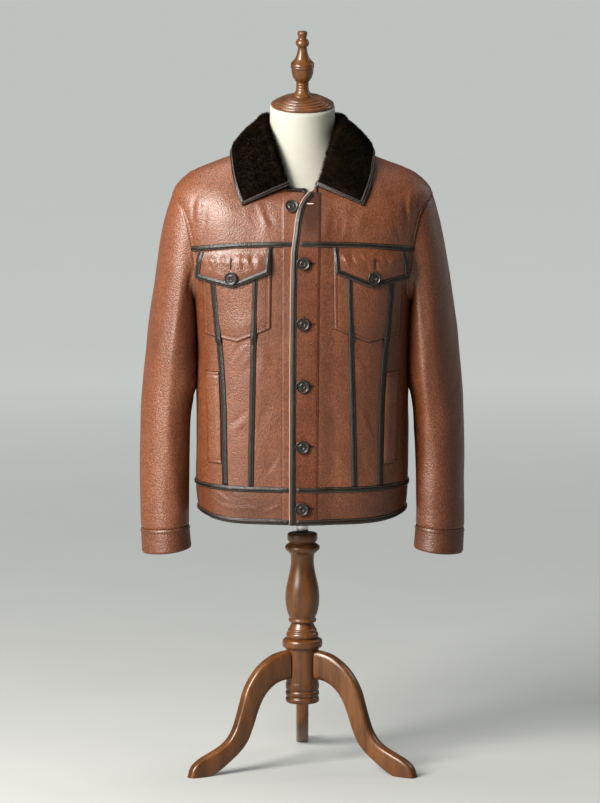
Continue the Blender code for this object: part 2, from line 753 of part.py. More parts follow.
def make_collar():
    last = COLLAR_END - COLLAR_TRIM
    half = [0.0, 0.8, 1.6, 2.2, 2.8, 3.2, 3.6, 4.1, 4.7, 5.3, 6.0, last]
    stations = [-s for s in reversed(half[1:])] + half
    full = collar_sheet([-COLLAR_END] + stations + [COLLAR_END])
    short = collar_sheet([-COLLAR_END] + stations + [COLLAR_END], cut=0.0082)
    faces = sheet_normals(full)
    stations[0], stations[-1] = -last + 0.03, last - 0.03
    rows, out = collar_sheet(stations, cut=0.0097), faces[1:-1]
    outer, inner = [], []
    for station, row, line in zip(stations, rows, out):
        thick = [0.0025, 0.0035] + [FUR / 2 * full_pile(station)] * (len(row) - 2)
        outer.append([p + n * t for p, n, t in zip(row, line, thick)])
        inner.append([p - n * t for p, n, t in zip(row, line, thick)])
    wall("collar", outer, inner, "fur")

    # The binding frames the front ends and the outer edge.
    count = len(full[0])
    path = []
    for c in range(count - 1):
        path.append((full[0][c], full[1][c], faces[0][c], c, COLLAR_END))
    path.append((full[0][-1], short[1][-1], faces[0][-1], count, COLLAR_END))
    for r in range(2, len(full) - 2):
        path.append((full[r][-1], short[r][-1], faces[r][-1], count, stations[r - 1]))
    path.append((full[-1][-1], short[-2][-1], faces[-1][-1], count, COLLAR_END))
    for c in range(count - 2, -1, -1):
        path.append((full[-1][c], full[-2][c], faces[-1][c], c, COLLAR_END))
    outer, inner = [], []
    for edge, inside, up, place, station in path:
        inside = inside + unit(edge - inside) * 0.0004
        deep = (0.5 if place == 0 else 0.75 if place == 1 else 1.0) * full_pile(station)
        outer.append([edge + up * 0.0034 * deep, inside + up * FUR / 2 * deep])
        inner.append([edge - up * 0.0034 * deep, inside - up * FUR / 2 * deep])
    wall("collar_binding", outer, inner, "trim")

    start, end = angle_at(0.0050, NECK), angle_at(0.0225, NECK)
    angles = [start + (end - 360 - start) * k / 30 for k in range(31)]
    outer, inner = [], []
    for angle in angles:
        turned_angle = (angle + 180) % 360 - 180
        high, low = [], []
        for share in (0.0, 1.0):
            height = 0.0004 + (stand_height(turned_angle) - 0.0004) * share
            point = stand_ring(turned_angle, height)
            away = unit(point * np.array([1, 1, 0]) - np.array([0, -0.009, 0]))
            high.append(point)
            low.append(point - away * 0.0030)
        outer.append(high)
        inner.append(low)
    wall("collar_stand", outer, inner, "leather")


# ---------------------------------------------------------------- buttons

# x, z, what it lies on
BUTTONS = [
    ("button_neck", -0.0194, 1.0367, SEAT),
    ("button_front_1", 0.0011, 0.9377, LAP + SEAT + 0.0016),
    ("button_front_2", 0.0008, 0.8296, LAP + SEAT),
    ("button_front_3", 0.0004, 0.7180, LAP + SEAT),
    ("button_front_4", -0.0004, 0.6079, LAP + SEAT),
    ("button_front_5", -0.0010, 0.4955, LAP + SEAT),
    ("button_flap_left", -0.1236, 0.9110, POCKET + STRIP + FLAP + TRIM + 5 * SEAT),
    ("button_flap_right", 0.1236, 0.9110, POCKET + STRIP + FLAP + TRIM + 5 * SEAT),
]
# radius, height above the button's back
BUTTON = [
    (0.0088, 0.0), (0.0110, 0.0012), (0.0119, 0.0028), (0.0108, 0.0042), (0.0086, 0.0031), (0.0020, 0.0027),
]


def make_buttons():
    for name, x, z, base in BUTTONS:
        angle, level = spot(x, z)
        out = normal(angle, level)
        made = turned(name, BUTTON, 11, "horn")
        made.location = body(angle, level) + out * base
        made.rotation_euler = Vector(out).to_track_quat("Z", "Y").to_euler()


# ---------------------------------------------------------------- form and stand

FORM_LEVELS = [0.505, 0.512, 0.6, 0.7, 0.8, 0.88, 0.93, 0.972, 1.0, 1.02, 1.034, 1.045, 1.053, 1.059, 1.0635]
NECK_Y = -0.0100
NECK_RADIUS = 0.0582
CAP_TILT = 10.0
CAP_LEVEL = 1.2109


def make_form():
    """The torso: the jacket's own surface moved in, then the neck up to the sloping cap."""
    steps = 24
    rings = []
    for level in FORM_LEVELS:
        room = 0.0090 - 0.0060 * ease(0.88, 1.0, level)
        room += 0.0140 * (1 - ease(FORM_LEVELS[0], FORM_LEVELS[1], level))
        room += 0.0022 * ease(0.95, 1.0, level) * (1 - ease(1.034, 1.050, level))
        room += 0.0010 * ease(1.05, 1.06, level)
        ring = []
        for k in range(steps):
            angle = 360 * k / steps
            angle = angle - 360 if angle > 180 else angle
            ring.append(body(angle, level) - normal(angle, level) * (WALL + room))
        rings.append(ring)
    # share of the way from the neck seam's loop to the round neck, share of the way to a level height, height
    for inward, level_share, height in ((0.45, 0.0, 0.0090), (0.72, 0.40, 1.1750), (0.94, 0.75, 1.1800)):
        ring = []
        for k in range(steps):
            angle = 360 * k / steps
            angle = angle - 360 if angle > 180 else angle
            loop = body(angle, NECK)
            round_neck = np.array([math.sin(angle * DEG), -math.cos(angle * DEG), 0]) * NECK_RADIUS
            point = loop * (1 - inward) + (round_neck + np.array([0, NECK_Y, 0])) * inward
            rise = loop[2] + height if level_share == 0 else loop[2]
            point[2] = rise * (1 - level_share) + height * level_share
            ring.append(point)
        rings.append(ring)
    ring = []
    for k in range(steps):
        turn = 2 * math.pi * k / steps
        y = -NECK_RADIUS * math.cos(turn)
        top = CAP_LEVEL - 0.0004 + y * math.tan(CAP_TILT * DEG)
        ring.append(np.array([NECK_RADIUS * math.sin(turn), NECK_Y + y, top]))
    rings.append(ring)
    lofted("form_torso", rings, "cloth")


# radius, height above the cap's underside
CAP = [
    (0.0545, 0.0000), (0.0566, 0.0022), (0.0558, 0.0056), (0.0508, 0.0084), (0.0500, 0.0080),
    (0.0442, 0.0120), (0.0432, 0.0114), (0.0366, 0.0154), (0.0356, 0.0148), (0.0225, 0.0194),
]
FINIAL = [
    (0.0186, 0.0000), (0.0176, 0.0018), (0.0129, 0.0070), (0.0115, 0.0100), (0.0117, 0.0126),
    (0.0107, 0.0149), (0.0116, 0.0171), (0.0107, 0.0193), (0.0116, 0.0216), (0.0110, 0.0240),
    (0.0137, 0.0285), (0.0163, 0.0323), (0.0184, 0.0369), (0.0198, 0.0440), (0.0203, 0.0510),
    (0.0213, 0.0535), (0.0213, 0.0570), (0.0205, 0.0600), (0.0168, 0.0640), (0.0134, 0.0678),
    (0.0112, 0.0725), (0.0096, 0.0781), (0.0080, 0.0882), (0.0090, 0.0904), (0.0112, 0.0926),
    (0.0121, 0.0964), (0.0114, 0.1000), (0.0094, 0.1028), (0.0076, 0.1045), (0.0076, 0.1080),
    (0.0087, 0.1120), (0.0087, 0.1160), (0.0076, 0.1175),
]
COLUMN = [
    (0.0285, 0.1169), (0.0307, 0.1190), (0.0307, 0.1264), (0.0285, 0.1283), (0.0307, 0.1302),
    (0.0307, 0.1374), (0.0285, 0.1393), (0.0307, 0.1412), (0.0307, 0.1545), (0.0296, 0.1559),
    (0.0296, 0.2190), (0.0345, 0.2190), (0.0367, 0.2213), (0.0367, 0.2326), (0.0345, 0.2350),
    (0.0280, 0.2360), (0.0294, 0.2400), (0.0288, 0.2450), (0.0250, 0.2520), (0.0206, 0.2650),
    (0.0252, 0.2672), (0.0252, 0.2706), (0.0244, 0.2755), (0.0290, 0.2895), (0.0313, 0.3090),
    (0.0294, 0.3300), (0.0240, 0.3550), (0.0211, 0.3700), (0.0209, 0.3862), (0.0226, 0.3928),
    (0.0300, 0.3990), (0.0320, 0.4035), (0.0300, 0.4085), (0.0228, 0.4145), (0.0272, 0.4180),
    (0.0272, 0.4290), (0.0200, 0.4318),
]
# distance from the axis, height: the outline of a leg, first its outer and then its inner edge
LEG = [
    (0.0300, 0.2150), (0.0380, 0.2150), (0.0608, 0.2101), (0.0803, 0.1999), (0.0958, 0.1877),
    (0.1113, 0.1687), (0.1228, 0.1476), (0.1306, 0.1226), (0.1384, 0.0979), (0.1461, 0.0781),
    (0.1578, 0.0615), (0.1732, 0.0500), (0.1963, 0.0395), (0.2172, 0.0300), (0.2316, 0.0180),
    (0.2383, 0.0000), (0.1920, 0.0000), (0.1733, 0.0089), (0.1539, 0.0224), (0.1347, 0.0374),
    (0.1192, 0.0547), (0.1075, 0.0791), (0.0978, 0.1056), (0.0882, 0.1271), (0.0764, 0.1430),
    (0.0608, 0.1552), (0.0444, 0.1610), (0.0300, 0.1620),
]
LEG_HALF, LEG_BEVEL = 0.0115, 0.0022
POLE_RADIUS, POLE_LOW, POLE_TOP = 0.0108, 0.4322, 0.5077
FINIAL_SEAT = 0.0196


def make_legs():
    """Each leg is a sawn plank: a flat outline with rounded edges, standing on its end."""
    for name, heading in (("leg_left", 210), ("leg_right", -30), ("leg_rear", 90)):
        curve = bpy.data.curves.new(name, "CURVE")
        curve.dimensions = "2D"
        curve.fill_mode = "BOTH"
        curve.extrude = LEG_HALF - LEG_BEVEL
        curve.bevel_depth = LEG_BEVEL
        curve.bevel_resolution = 0
        curve.offset = -LEG_BEVEL
        spline = curve.splines.new("POLY")
        spline.points.add(len(LEG) - 1)
        spline.use_cyclic_u = True
        for point, (radius, height) in zip(spline.points, LEG):
            point.co = (radius, height, 0, 1)
        made = add(name, curve, "wood")
        made.rotation_euler = (90 * DEG, 0, heading * DEG)


def make_stand():
    make_legs()
    turned("column", COLUMN, 16, "wood")
    bpy.ops.mesh.primitive_cylinder_add(vertices=20, radius=POLE_RADIUS, depth=POLE_TOP - POLE_LOW)
    pole = bpy.context.object
    pole.name = "pole"
    pole.data.materials.append(material_of("steel"))
    pole.parent = bpy.data.objects["whole"]
    pole.location = (0, 0, (POLE_TOP + POLE_LOW) / 2)
    for holder in list(pole.users_collection):
        holder.objects.unlink(pole)
    bpy.data.collections[COLLECTION].objects.link(pole)
    tilt = CAP_TILT * DEG
    cap = turned("neck_cap", CAP, 20, "wood")
    cap.location = (0, NECK_Y, CAP_LEVEL)
    finial = turned("finial", FINIAL, 14, "wood")
    finial.location = (0, NECK_Y - math.sin(tilt) * FINIAL_SEAT, CAP_LEVEL + math.cos(tilt) * FINIAL_SEAT)
    cap.rotation_euler = finial.rotation_euler = (tilt, 0, 0)


def main():
    for old in list(bpy.data.objects):
        bpy.data.objects.remove(old, do_unlink=True)
    bpy.context.scene.collection.children.link(bpy.data.collections.new(COLLECTION))
    whole = bpy.data.objects.new("whole", None)
    whole.location = (0, SHIFT_Y, 0)
    bpy.data.collections[COLLECTION].objects.link(whole)
    make_form()
    make_stand()
    make_fronts()
    make_back()
    make_sleeves()
    make_strips()
    make_front_binding()
    round_strip("hem_top_strip", HEM_SEAM - STRIP_HALF + 0.0002, HEM_SEAM + STRIP_HALF - 0.0002, STRIP)
    round_strip("hem_edge_binding", HEM, HEM + 0.0105, BINDING)
    for word, side in (("left", -1), ("right", 1)):
        make_pockets(word, side)
    make_collar()
    make_buttons()


main()
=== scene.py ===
"""Looks of a shearling trucker-cut jacket on a limbless dress form with a turned wooden tripod stand.

Metres, +Z up, the front towards -Y. "left" is the -X side and "right" the +X side. The jacket's outer face
is one surface, body(angle, level): the angle runs from 0 at the front centre to 90 at the side and 180 at
the back centre, and the level is the height of that ring at the front centre. relief() adds the folds.
"""

import math

import bpy
import numpy as np
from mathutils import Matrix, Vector


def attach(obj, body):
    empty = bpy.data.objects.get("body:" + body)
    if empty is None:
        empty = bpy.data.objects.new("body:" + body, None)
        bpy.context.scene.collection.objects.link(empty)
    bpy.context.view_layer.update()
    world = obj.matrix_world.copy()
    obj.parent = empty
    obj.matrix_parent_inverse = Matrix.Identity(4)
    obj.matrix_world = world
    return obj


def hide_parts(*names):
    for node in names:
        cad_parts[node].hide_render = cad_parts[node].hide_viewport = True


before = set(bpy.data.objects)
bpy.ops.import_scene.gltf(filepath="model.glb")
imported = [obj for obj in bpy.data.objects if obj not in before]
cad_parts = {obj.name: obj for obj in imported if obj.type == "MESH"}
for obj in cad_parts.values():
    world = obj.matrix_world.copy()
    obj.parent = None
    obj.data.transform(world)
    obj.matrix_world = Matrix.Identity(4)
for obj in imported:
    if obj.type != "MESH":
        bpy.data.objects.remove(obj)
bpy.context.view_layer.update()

SHIFT = np.array([0.0, -0.0494, 0.0])  # from the pole's axis to the middle of the footprint
DEG = math.pi / 180
WALL = 0.0035  # shearling, skin and wool together
SEAT = 0.0006  # clearance of what lies on a panel
LAP = WALL + 0.0008  # how far the +X front lies over the other one
ROUND = 2.4  # exponent of the body's section

# level, half width, depth of the front, depth of the back, height at the side, height at the back
BODY = np.array([
    (4644, 1895, 1215, 1160, 4790, 4644), (5285, 1930, 1250, 1200, 5295, 5285),
    (6200, 1925, 1270, 1205, 6200, 6200), (7000, 1925, 1285, 1215, 7000, 7000),
    (8000, 1940, 1300, 1235, 8000, 8000), (8500, 1985, 1300, 1245, 8510, 8510),
    (8800, 2055, 1298, 1250, 8850, 8850), (9200, 2170, 1290, 1250, 9300, 9320),
    (9715, 2285, 1262, 1235, 9900, 9970), (10000, 2335, 1215, 1180, 10280, 10370),
    (10200, 2345, 1150, 1080, 10540, 10680), (10340, 2260, 1090, 980, 10715, 10880),
    (10450, 1980, 1030, 890, 10940, 11050), (10530, 1540, 960, 790, 11120, 11200),
    (10590, 1200, 900, 720, 11240, 11300), (10640, 900, 840, 660, 11330, 11390),
]) / 1e4
HEM, HEM_SEAM, UNDERARM, SHOULDER, NECK = 0.4644, 0.5285, 0.8520, 1.0220, 1.0640
# level, angle of the armhole seam on the front
ARMHOLE = np.array([
    (8520, 900), (8560, 805), (8640, 730), (8760, 672), (8950, 634), (9200, 613), (9480, 604), (9750, 608),
    (9970, 634), (10105, 700), (10220, 900),
]) / (1e4, 10)
YOKE_TOP = 0.9480  # the row of the armhole table where the yoke seam meets it
# height, x of the closing edge of the +X front
EDGE = np.array([
    (4644, -225), (8000, -212), (9530, -187), (9870, -145), (10100, -118), (10340, -60), (10497, 30),
    (10587, 120), (10640, 215),
]) / 1e4
UNDER_EDGE = np.array([(4644, 120), (10300, 120), (10640, 50)]) / 1e4
# height, distance of the two long seams from the centre
SEAM_IN = np.array([(4644, 935), (5380, 930), (6857, 897), (9060, 842), (10000, 820)]) / 1e4
SEAM_OUT = np.array([(4644, 1390), (5380, 1396), (7000, 1430), (9000, 1580), (10000, 1680)]) / 1e4
# distance from the centre, height of the yoke seam
YOKE = np.array([(0, 9718), (900, 9698), (1500, 9650), (2000, 9580), (2400, 9510)]) / 1e4

# folds: from x, z to x, z; half width; height, below 0 for a trough
FRONT_FOLDS = np.array([
    (-1907, 10551, -1960, 10081, 34, -22), (-1817, 10533, -1853, 10045, 42, 16),
    (-1727, 10243, -1871, 9792, 42, -8), (-688, 10533, -491, 10008, 40, -19),
    (-796, 10460, -652, 9882, 52, 12), (-957, 10298, -796, 9918, 22, -8),
    (-1548, 10822, -1047, 9990, 140, 10), (-1333, 10063, -724, 9810, 80, -8),
    (1973, 10695, 1964, 10117, 36, 21), (1857, 10460, 1830, 9810, 46, -15),
    (2089, 10623, 2018, 10153, 26, -14), (548, 10388, 441, 9792, 52, 13), (683, 10298, 620, 9755, 42, -11),
    (1140, 10334, 961, 9810, 80, 8), (1462, 11075, 1713, 10280, 90, -8), (1588, 10135, 1731, 9737, 42, -9),
    (-984, 7966, -1279, 7604, 34, -16), (-885, 7821, -1190, 7406, 50, 10),
    (-975, 6755, -1297, 6411, 48, -13), (-1029, 6538, -1262, 6249, 60, 10), (-706, 7912, -831, 7243, 80, 9),
    (-563, 6954, -724, 6158, 90, -9), (-1710, 7912, -1799, 7207, 60, -8), (-437, 5941, -724, 5526, 42, -8),
    (280, 8092, 566, 7406, 80, -9), (495, 7026, 763, 6357, 90, 9), (996, 7785, 1229, 7406, 50, -11),
    (1050, 6755, 1283, 6176, 50, 9), (405, 6032, 674, 5580, 50, -8), (1032, 5960, 1247, 5508, 42, -8),
    (1624, 6556, 1785, 5978, 60, 8), (-1369, 5309, -1136, 5110, 23, 13), (-1638, 5074, -1154, 4929, 24, 11),
    (-1154, 4929, -724, 4875, 24, 11), (-724, 4875, -383, 5038, 23, 13), (-1118, 5110, -814, 4965, 26, -11),
    (-1584, 5255, -1279, 5056, 28, -11), (351, 5110, 513, 4965, 25, -10), (889, 5182, 1247, 5020, 28, -10),
]) / 1e4
BACK_FOLDS = np.array([
    (-1850, 10450, -1890, 9700, 60, -20), (-1740, 10300, -1720, 9600, 70, 14),
    (1880, 10500, 1830, 9760, 55, -18), (1750, 10240, 1790, 9520, 75, 13),
    (-1600, 9300, -900, 8700, 100, -12), (1640, 9200, 1020, 8760, 90, -12),
    (-800, 10700, -450, 10200, 80, 12), (760, 10760, 380, 10180, 70, -10),
    (-300, 8700, -700, 7900, 100, 10), (420, 8400, 200, 7500, 110, -11), (-1500, 7400, -900, 6900, 70, -14),
    (-1380, 7180, -860, 6700, 80, 10), (1560, 7100, 1000, 6520, 65, -13), (1450, 6820, 940, 6300, 80, 10),
    (-500, 6400, 200, 6100, 90, -9), (500, 5900, 1100, 5600, 60, -8), (-1200, 5900, -700, 5560, 60, 8),
    (-1000, 5150, -500, 4950, 24, -6), (300, 5080, 850, 4940, 22, 6),
]) / 1e4
# the same on a sleeve: turn in degrees, z
SLEEVE_FOLDS_LEFT = np.array([
    (96, 960, 104, 480, 130, 26), (62, 900, 58, 560, 120, -12), (148, 930, 128, 830, 60, -14),
    (120, 940, 112, 860, 50, -10), (165, 760, 118, 722, 60, -12), (168, 735, 122, 700, 60, 10),
    (160, 690, 124, 664, 50, -10), (72, 500, 112, 492, 36, 7), (66, 480, 104, 486, 36, -8),
    (84, 466, 128, 470, 32, 6), (210, 800, 250, 740, 90, -14), (215, 740, 262, 700, 80, 11),
    (205, 690, 248, 660, 70, -11), (285, 900, 292, 600, 130, 14), (240, 560, 280, 520, 60, -9),
    (330, 930, 338, 760, 90, -8), (20, 700, 40, 640, 80, -8),
]) / (1, 1e3, 1, 1e3, 1e4, 1e4)
SLEEVE_FOLDS_RIGHT = np.array([
    (122, 960, 128, 480, 120, 22), (84, 940, 78, 600, 120, -10), (60, 880, 64, 520, 110, 10),
    (152, 920, 140, 850, 55, -12), (166, 750, 132, 716, 60, -10), (170, 726, 136, 694, 60, 9),
    (158, 640, 120, 612, 55, -9), (100, 490, 146, 482, 36, 6), (92, 474, 132, 478, 36, -7),
    (214, 780, 256, 730, 90, -13), (208, 724, 252, 690, 80, 11), (288, 880, 284, 580, 120, 13),
    (236, 580, 286, 540, 60, -8), (335, 900, 328, 740, 90, -9), (16, 660, 36, 610, 80, -7),
]) / (1, 1e3, 1, 1e3, 1e4, 1e4)


def between(table, value):
    """The other columns of a table at values of its first, on a smooth line through its rows."""
    table = np.asarray(table, float)
    first = table[:, 0]
    value = np.clip(np.asarray(value, float), first[0], first[-1])
    slope = (table[1:] - table[:-1]) / np.diff(first)[:, None]
    inner = (table[2:] - table[:-2]) / (first[2:] - first[:-2])[:, None]
    node = np.concatenate([slope[:1], inner, slope[-1:]])
    k = np.clip(np.searchsorted(first, value, side="right") - 1, 0, len(first) - 2)
    step = (first[k + 1] - first[k])[..., None]
    t = (value - first[k])[..., None] / step
    found = (2 * t**3 - 3 * t**2 + 1) * table[k] + (3 * t**2 - 2 * t**3) * table[k + 1]
    found = found + ((t**3 - 2 * t**2 + t) * node[k] + (t**3 - t**2) * node[k + 1]) * step
    return found[..., 1] if table.shape[1] == 2 else found[..., 1:]


def ease(low, high, value):
    t = np.clip((value - low) / (high - low), 0.0, 1.0)
    return t * t * (3 - 2 * t)


def bell(value, middle, width):
    return np.exp(-(((value - middle) / width) ** 2))


def circle(count):
    return np.linspace(0, 2 * math.pi, count + 1)[:-1]


def rounded_box(count, wide, high):
    """Across and upward parts of a closed section, rounder at low exponents and boxier at high ones."""
    s, c = np.sin(circle(count)), np.cos(circle(count))
    return np.sign(c) * np.abs(c) ** (2 / wide), np.sign(s) * np.abs(s) ** (2 / high)


def unit(vector):
    return vector / np.maximum(np.linalg.norm(vector, axis=-1, keepdims=True), 1e-12)


def body(angle, level):
    """Points of the jacket's outer surface; the angle is in degrees, negative on the -X side."""
    angle, level = np.broadcast_arrays(np.asarray(angle, float), np.asarray(level, float))
    half, front, back, z_side, z_back = np.moveaxis(between(BODY, level), -1, 0)
    s, c = np.sin(angle * DEG), np.cos(angle * DEG)
    x = half * np.sign(s) * np.abs(s) ** (2 / ROUND)
    y = np.where(c > 0, -front, back) * np.abs(c) ** (2 / ROUND)
    centre = np.where(c > 0, level, z_back)
    share = np.where(level > HEM_SEAM, s * s, (s * s) ** 2.5)
    return np.stack([x, y, centre + (z_side - centre) * share], -1)


def normal(angle, level):
    low, high = np.maximum(level - 0.0006, HEM), np.minimum(level + 0.0006, NECK)
    along = body(angle + 0.4, level) - body(angle - 0.4, level)
    return unit(np.cross(along, body(angle, high) - body(angle, low)))


def angle_at(x, level):
    half = between(BODY, level)[..., 0]
    share = np.minimum(np.abs(x) / half, 1.0)
    return np.sign(x) * np.arcsin(share ** (ROUND / 2)) / DEG


def spot(x, z, back=False):
    """The angle and the level of the surface points that are seen at x and z from the front or the back."""
    x, z = np.broadcast_arrays(np.asarray(x, float), np.asarray(z, float))
    low, high = np.full(x.shape, HEM), np.full(x.shape, NECK)
    for _ in range(34):
        level = (low + high) / 2
        angle = angle_at(x, level)
        angle = np.where(x < 0, -180, 180) - angle if back else angle
        beyond = (level > SHOULDER) & (np.abs(x) > between(BODY, level)[..., 0])
        beyond = beyond | (body(angle, level)[..., 2] > z)
        low, high = np.where(beyond, low, level), np.where(beyond, level, high)
    return angle, level


def arm_angle(level):
    inside = (level > UNDERARM) & (level < SHOULDER)
    return np.where(inside, np.minimum(between(ARMHOLE, level), 90.0), 90.0)


def arm_angle_back(level):
    return 180 - (90 - 0.85 * (90 - arm_angle(level)))


def yoke_level(angle):
    level = np.full(np.shape(angle), 0.96)
    for _ in range(25):
        point = body(angle, level)
        level = level + 0.7 * (between(YOKE, np.abs(point[..., 0])) - point[..., 2])
    return level


# ---------------------------------------------------------------- folds

CHANCE = np.random.default_rng(11)
WAVES = []
for _ in range(18):
    wave_length = CHANCE.uniform(0.028, 0.120)
    heading = unit(CHANCE.normal(size=3) * np.array([1.0, 1.0, 0.6]))
    WAVES.append((heading * 2 * math.pi / wave_length, CHANCE.uniform(0, 6.28), 0.0024 * wave_length))


def unevenness(point):
    """Low swells of the leather, uneven in length and direction."""
    total = np.zeros(point.shape[:-1])
    for wave, phase, height in WAVES:
        total += height * np.sin(point @ wave + phase)
    return total


def creases(u, v, folds):
    """The sum of a table's folds at u, v. Each bows a little and has a shallow counter-fold at one side."""
    total = np.zeros(np.shape(u))
    for k, (u0, v0, u1, v1, width, height) in enumerate(folds):
        du, dv = u1 - u0, v1 - v0
        length = math.hypot(du, dv)
        t = ((u - u0) * du + (v - v0) * dv) / length**2
        bow = 0.10 * length * math.sin(2.4 * k + 0.7)
        aside = ((u - u0) * dv - (v - v0) * du) / length - bow * np.sin(math.pi * np.clip(t, 0, 1))
        fade = ease(-0.12, 0.35, t) * (1 - ease(0.60, 1.12, t))
        turned_to = 1.9 * width * (1 if math.sin(5.1 * k) > 0 else -1)
        shape = bell(aside, 0.0, width) - 0.36 * bell(aside, turned_to, 1.5 * width)
        total += 0.90 * height * fade * shape
    return total


PLACKET_LEFT = -0.0372
PLACKET_RIGHT = np.array([(4644, 268), (8000, 292), (10640, 333)]) / 1e4


def relief(point):
    """How far the leather stands off the jacket's plain form at points of that form."""
    x, y, z = point[..., 0], point[..., 1], point[..., 2]
    front = ease(0.02, -0.02, y)
    return unevenness(point) + creases(x, z, FRONT_FOLDS) * front + creases(x, z, BACK_FOLDS) * (1 - front)


def lap(x):
    return LAP * (1 - ease(0.026, 0.060, x))


def on_body(x, z, out):
    """Points on the folded leather, moved out, and the plain form's normals there."""
    angle, level = spot(x, z)
    base, up = body(angle, level), normal(angle, level)
    return base + up * (relief(base) + out)[..., None], up


# ---------------------------------------------------------------- meshes


def shell_faces(rows, columns, ring):
    """Quads of a closed wall between two grids: outer face, inner face, rim."""
    r = np.arange(rows - 1)[:, None]
    c = np.arange(columns if ring else columns - 1)[None, :]
    a, b = r * columns + c, r * columns + (c + 1) % columns
    shift = rows * columns
    outer = np.stack([a, b, b + columns, a + columns], -1).reshape(-1, 4)
    inner = np.stack([a, a + columns, b + columns, b], -1).reshape(-1, 4) + shift
    a, b = c[0], (c[0] + 1) % columns
    rim = [np.stack([b, a, a + shift, b + shift], -1)]
    a, b = a + (rows - 1) * columns, b + (rows - 1) * columns
    rim.append(np.stack([a, b, b + shift, a + shift], -1))
    if not ring:
        a = np.arange(rows - 1) * columns
        b = a + columns
        rim.append(np.stack([a, b, b + shift, a + shift], -1))
        a, b = a + columns - 1, b + columns - 1
        rim.append(np.stack([b, a, a + shift, b + shift], -1))
    return outer, inner, np.concatenate(rim)


def tube_faces(rows, columns, flipped=False):
    """Quads between the rings of a closed tube and a cap at each end."""
    r, c = np.meshgrid(np.arange(rows - 1), np.arange(columns), indexing="ij")
    a, b = r * columns + c, r * columns + (c + 1) % columns
    quads = np.stack([a, b, b + columns, a + columns], -1).reshape(-1, 4)
    low, high = list(range(columns)), list(range((rows - 1) * columns, rows * columns))
    if flipped:
        return quads[:, [0, 3, 2, 1]].tolist() + [low, high[::-1]]
    return quads.tolist() + [low[::-1], high]


def piece(name, points, faces, materials, index=None, moved=True):
    """A mesh object; faces all have as many corners as their array has columns."""
    points = np.asarray(points, float) + (SHIFT if moved else 0.0)
    mesh = bpy.data.meshes.new(name)
    mesh.from_pydata(points.tolist(), [], faces.tolist() if isinstance(faces, np.ndarray) else faces)
    for material in materials:
        mesh.materials.append(material)
    if index is not None:
        mesh.polygons.foreach_set("material_index", np.asarray(index, np.int32))
    mesh.polygons.foreach_set("use_smooth", np.full(len(mesh.polygons), True))
    mesh.update()
    made = bpy.data.objects.new(name, mesh)
    bpy.context.scene.collection.objects.link(made)
    return made


def repeated(pattern, corners, count):
    """The faces of many small pieces alike, each with as many corners."""
    return (np.array(pattern)[None] + corners * np.arange(count)[:, None, None]).reshape(-1, 3)


def shell(name, outer, inner, materials, ring=False, added=False):
    """A closed wall between two grids of points; its inner face takes the second material.

    It stands in for the solid of the same name, or is added where there is none.
    """
    rows, columns = outer.shape[:2]
    top, low, rim = shell_faces(rows, columns, ring)
    points = np.concatenate([outer.reshape(-1, 3), inner.reshape(-1, 3)])
    faces = np.concatenate([top, low, rim])
    a, b, c, d = (points[faces[:, k]] for k in range(4))
    volume = np.sum(np.cross(b - a, c - a) * a) + np.sum(np.cross(c - a, d - a) * a)
    if volume < 0:
        faces = faces[:, ::-1]
    index = np.zeros(len(faces), int)
    if len(materials) > 1:
        index[len(top) : len(top) + len(low)] = 1
    made = piece(name, points, faces, materials, index)
    if not added:
        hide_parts(name)
    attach(made, "root")
    return made


def grid_normals(rows, ring=False):
    """Unit normals of a grid of points, outward or inward as the grid runs."""
    if ring:
        around = np.roll(rows, -1, axis=1) - np.roll(rows, 1, axis=1)
    else:
        around = np.gradient(rows, axis=1)
    return unit(np.cross(np.gradient(rows, axis=0), around))


def steps_of(points, axis=0):
    """Lengths from the start of a line or a grid of points to each of them."""
    lengths = np.cumsum(np.linalg.norm(np.diff(points, axis=axis), axis=-1), axis=axis)
    pad = [(0, 0)] * lengths.ndim
    pad[axis] = (1, 0)
    return np.pad(lengths, pad)


def taken(points, lengths, wanted):
    """Points at the wanted lengths along a line of points."""
    return np.stack([np.interp(wanted, lengths, points[:, k]) for k in range(3)], -1)


def edge_distance(points, ring=False):
    """Distance of each grid point from the grid's nearest edge, along the surface."""
    down = steps_of(points, 0)
    nearest = np.minimum(down, down[-1:] - down)
    if not ring:
        along = steps_of(points, 1)
        nearest = np.minimum(nearest, np.minimum(along, along[:, -1:] - along))
    return nearest


def area_of(points):
    a, b, c, d = points[:-1, :-1], points[:-1, 1:], points[1:, 1:], points[1:, :-1]
    return 0.5 * float(np.linalg.norm(np.cross(c - a, d - b), axis=-1).sum())


def declare(outer, ring=False):
    """Measures a grid's width, length and area along its own surface; the results are not kept."""
    closed = np.concatenate([outer, outer[:, :1]], axis=1) if ring else outer
    width = float(np.linalg.norm(np.diff(closed, axis=1), axis=-1).sum(axis=1).max())
    length = float(np.linalg.norm(np.diff(closed, axis=0), axis=-1).sum(axis=0).max())
    area = max(min(area_of(closed), width * length), 0.31 * width * length)
    width, length = max(width, 0.0101), max(length, 0.0101)


RIM_STEPS = np.array([0.0, 0.0006, 0.0014, 0.0024, 0.0038])
RIM_END = 0.0055


def shares(length, step):
    """Shares of a length, closer together at both ends, where the leather rounds over."""
    rim = RIM_STEPS / length
    middle = np.linspace(RIM_END / length, 1 - RIM_END / length, max(int(length / step), 4))
    return np.concatenate([rim, middle, 1 - rim[::-1]])


def rounded_off(distance, drop=0.0011, reach=0.0034):
    """How far the leather falls towards its edge, where it is folded in."""
    return drop * (1 - ease(0.0, reach, distance))


def resampled(points, count):
    """A polyline through the same points with count points, evenly spaced on a smooth line."""
    lengths = steps_of(np.asarray(points, float))
    return between(np.column_stack([lengths, points]), np.linspace(0, lengths[-1], count))


def side_counts(points, step):
    return [max(int(np.linalg.norm(b - a) / step), 1) for a, b in zip(points, points[1:])]


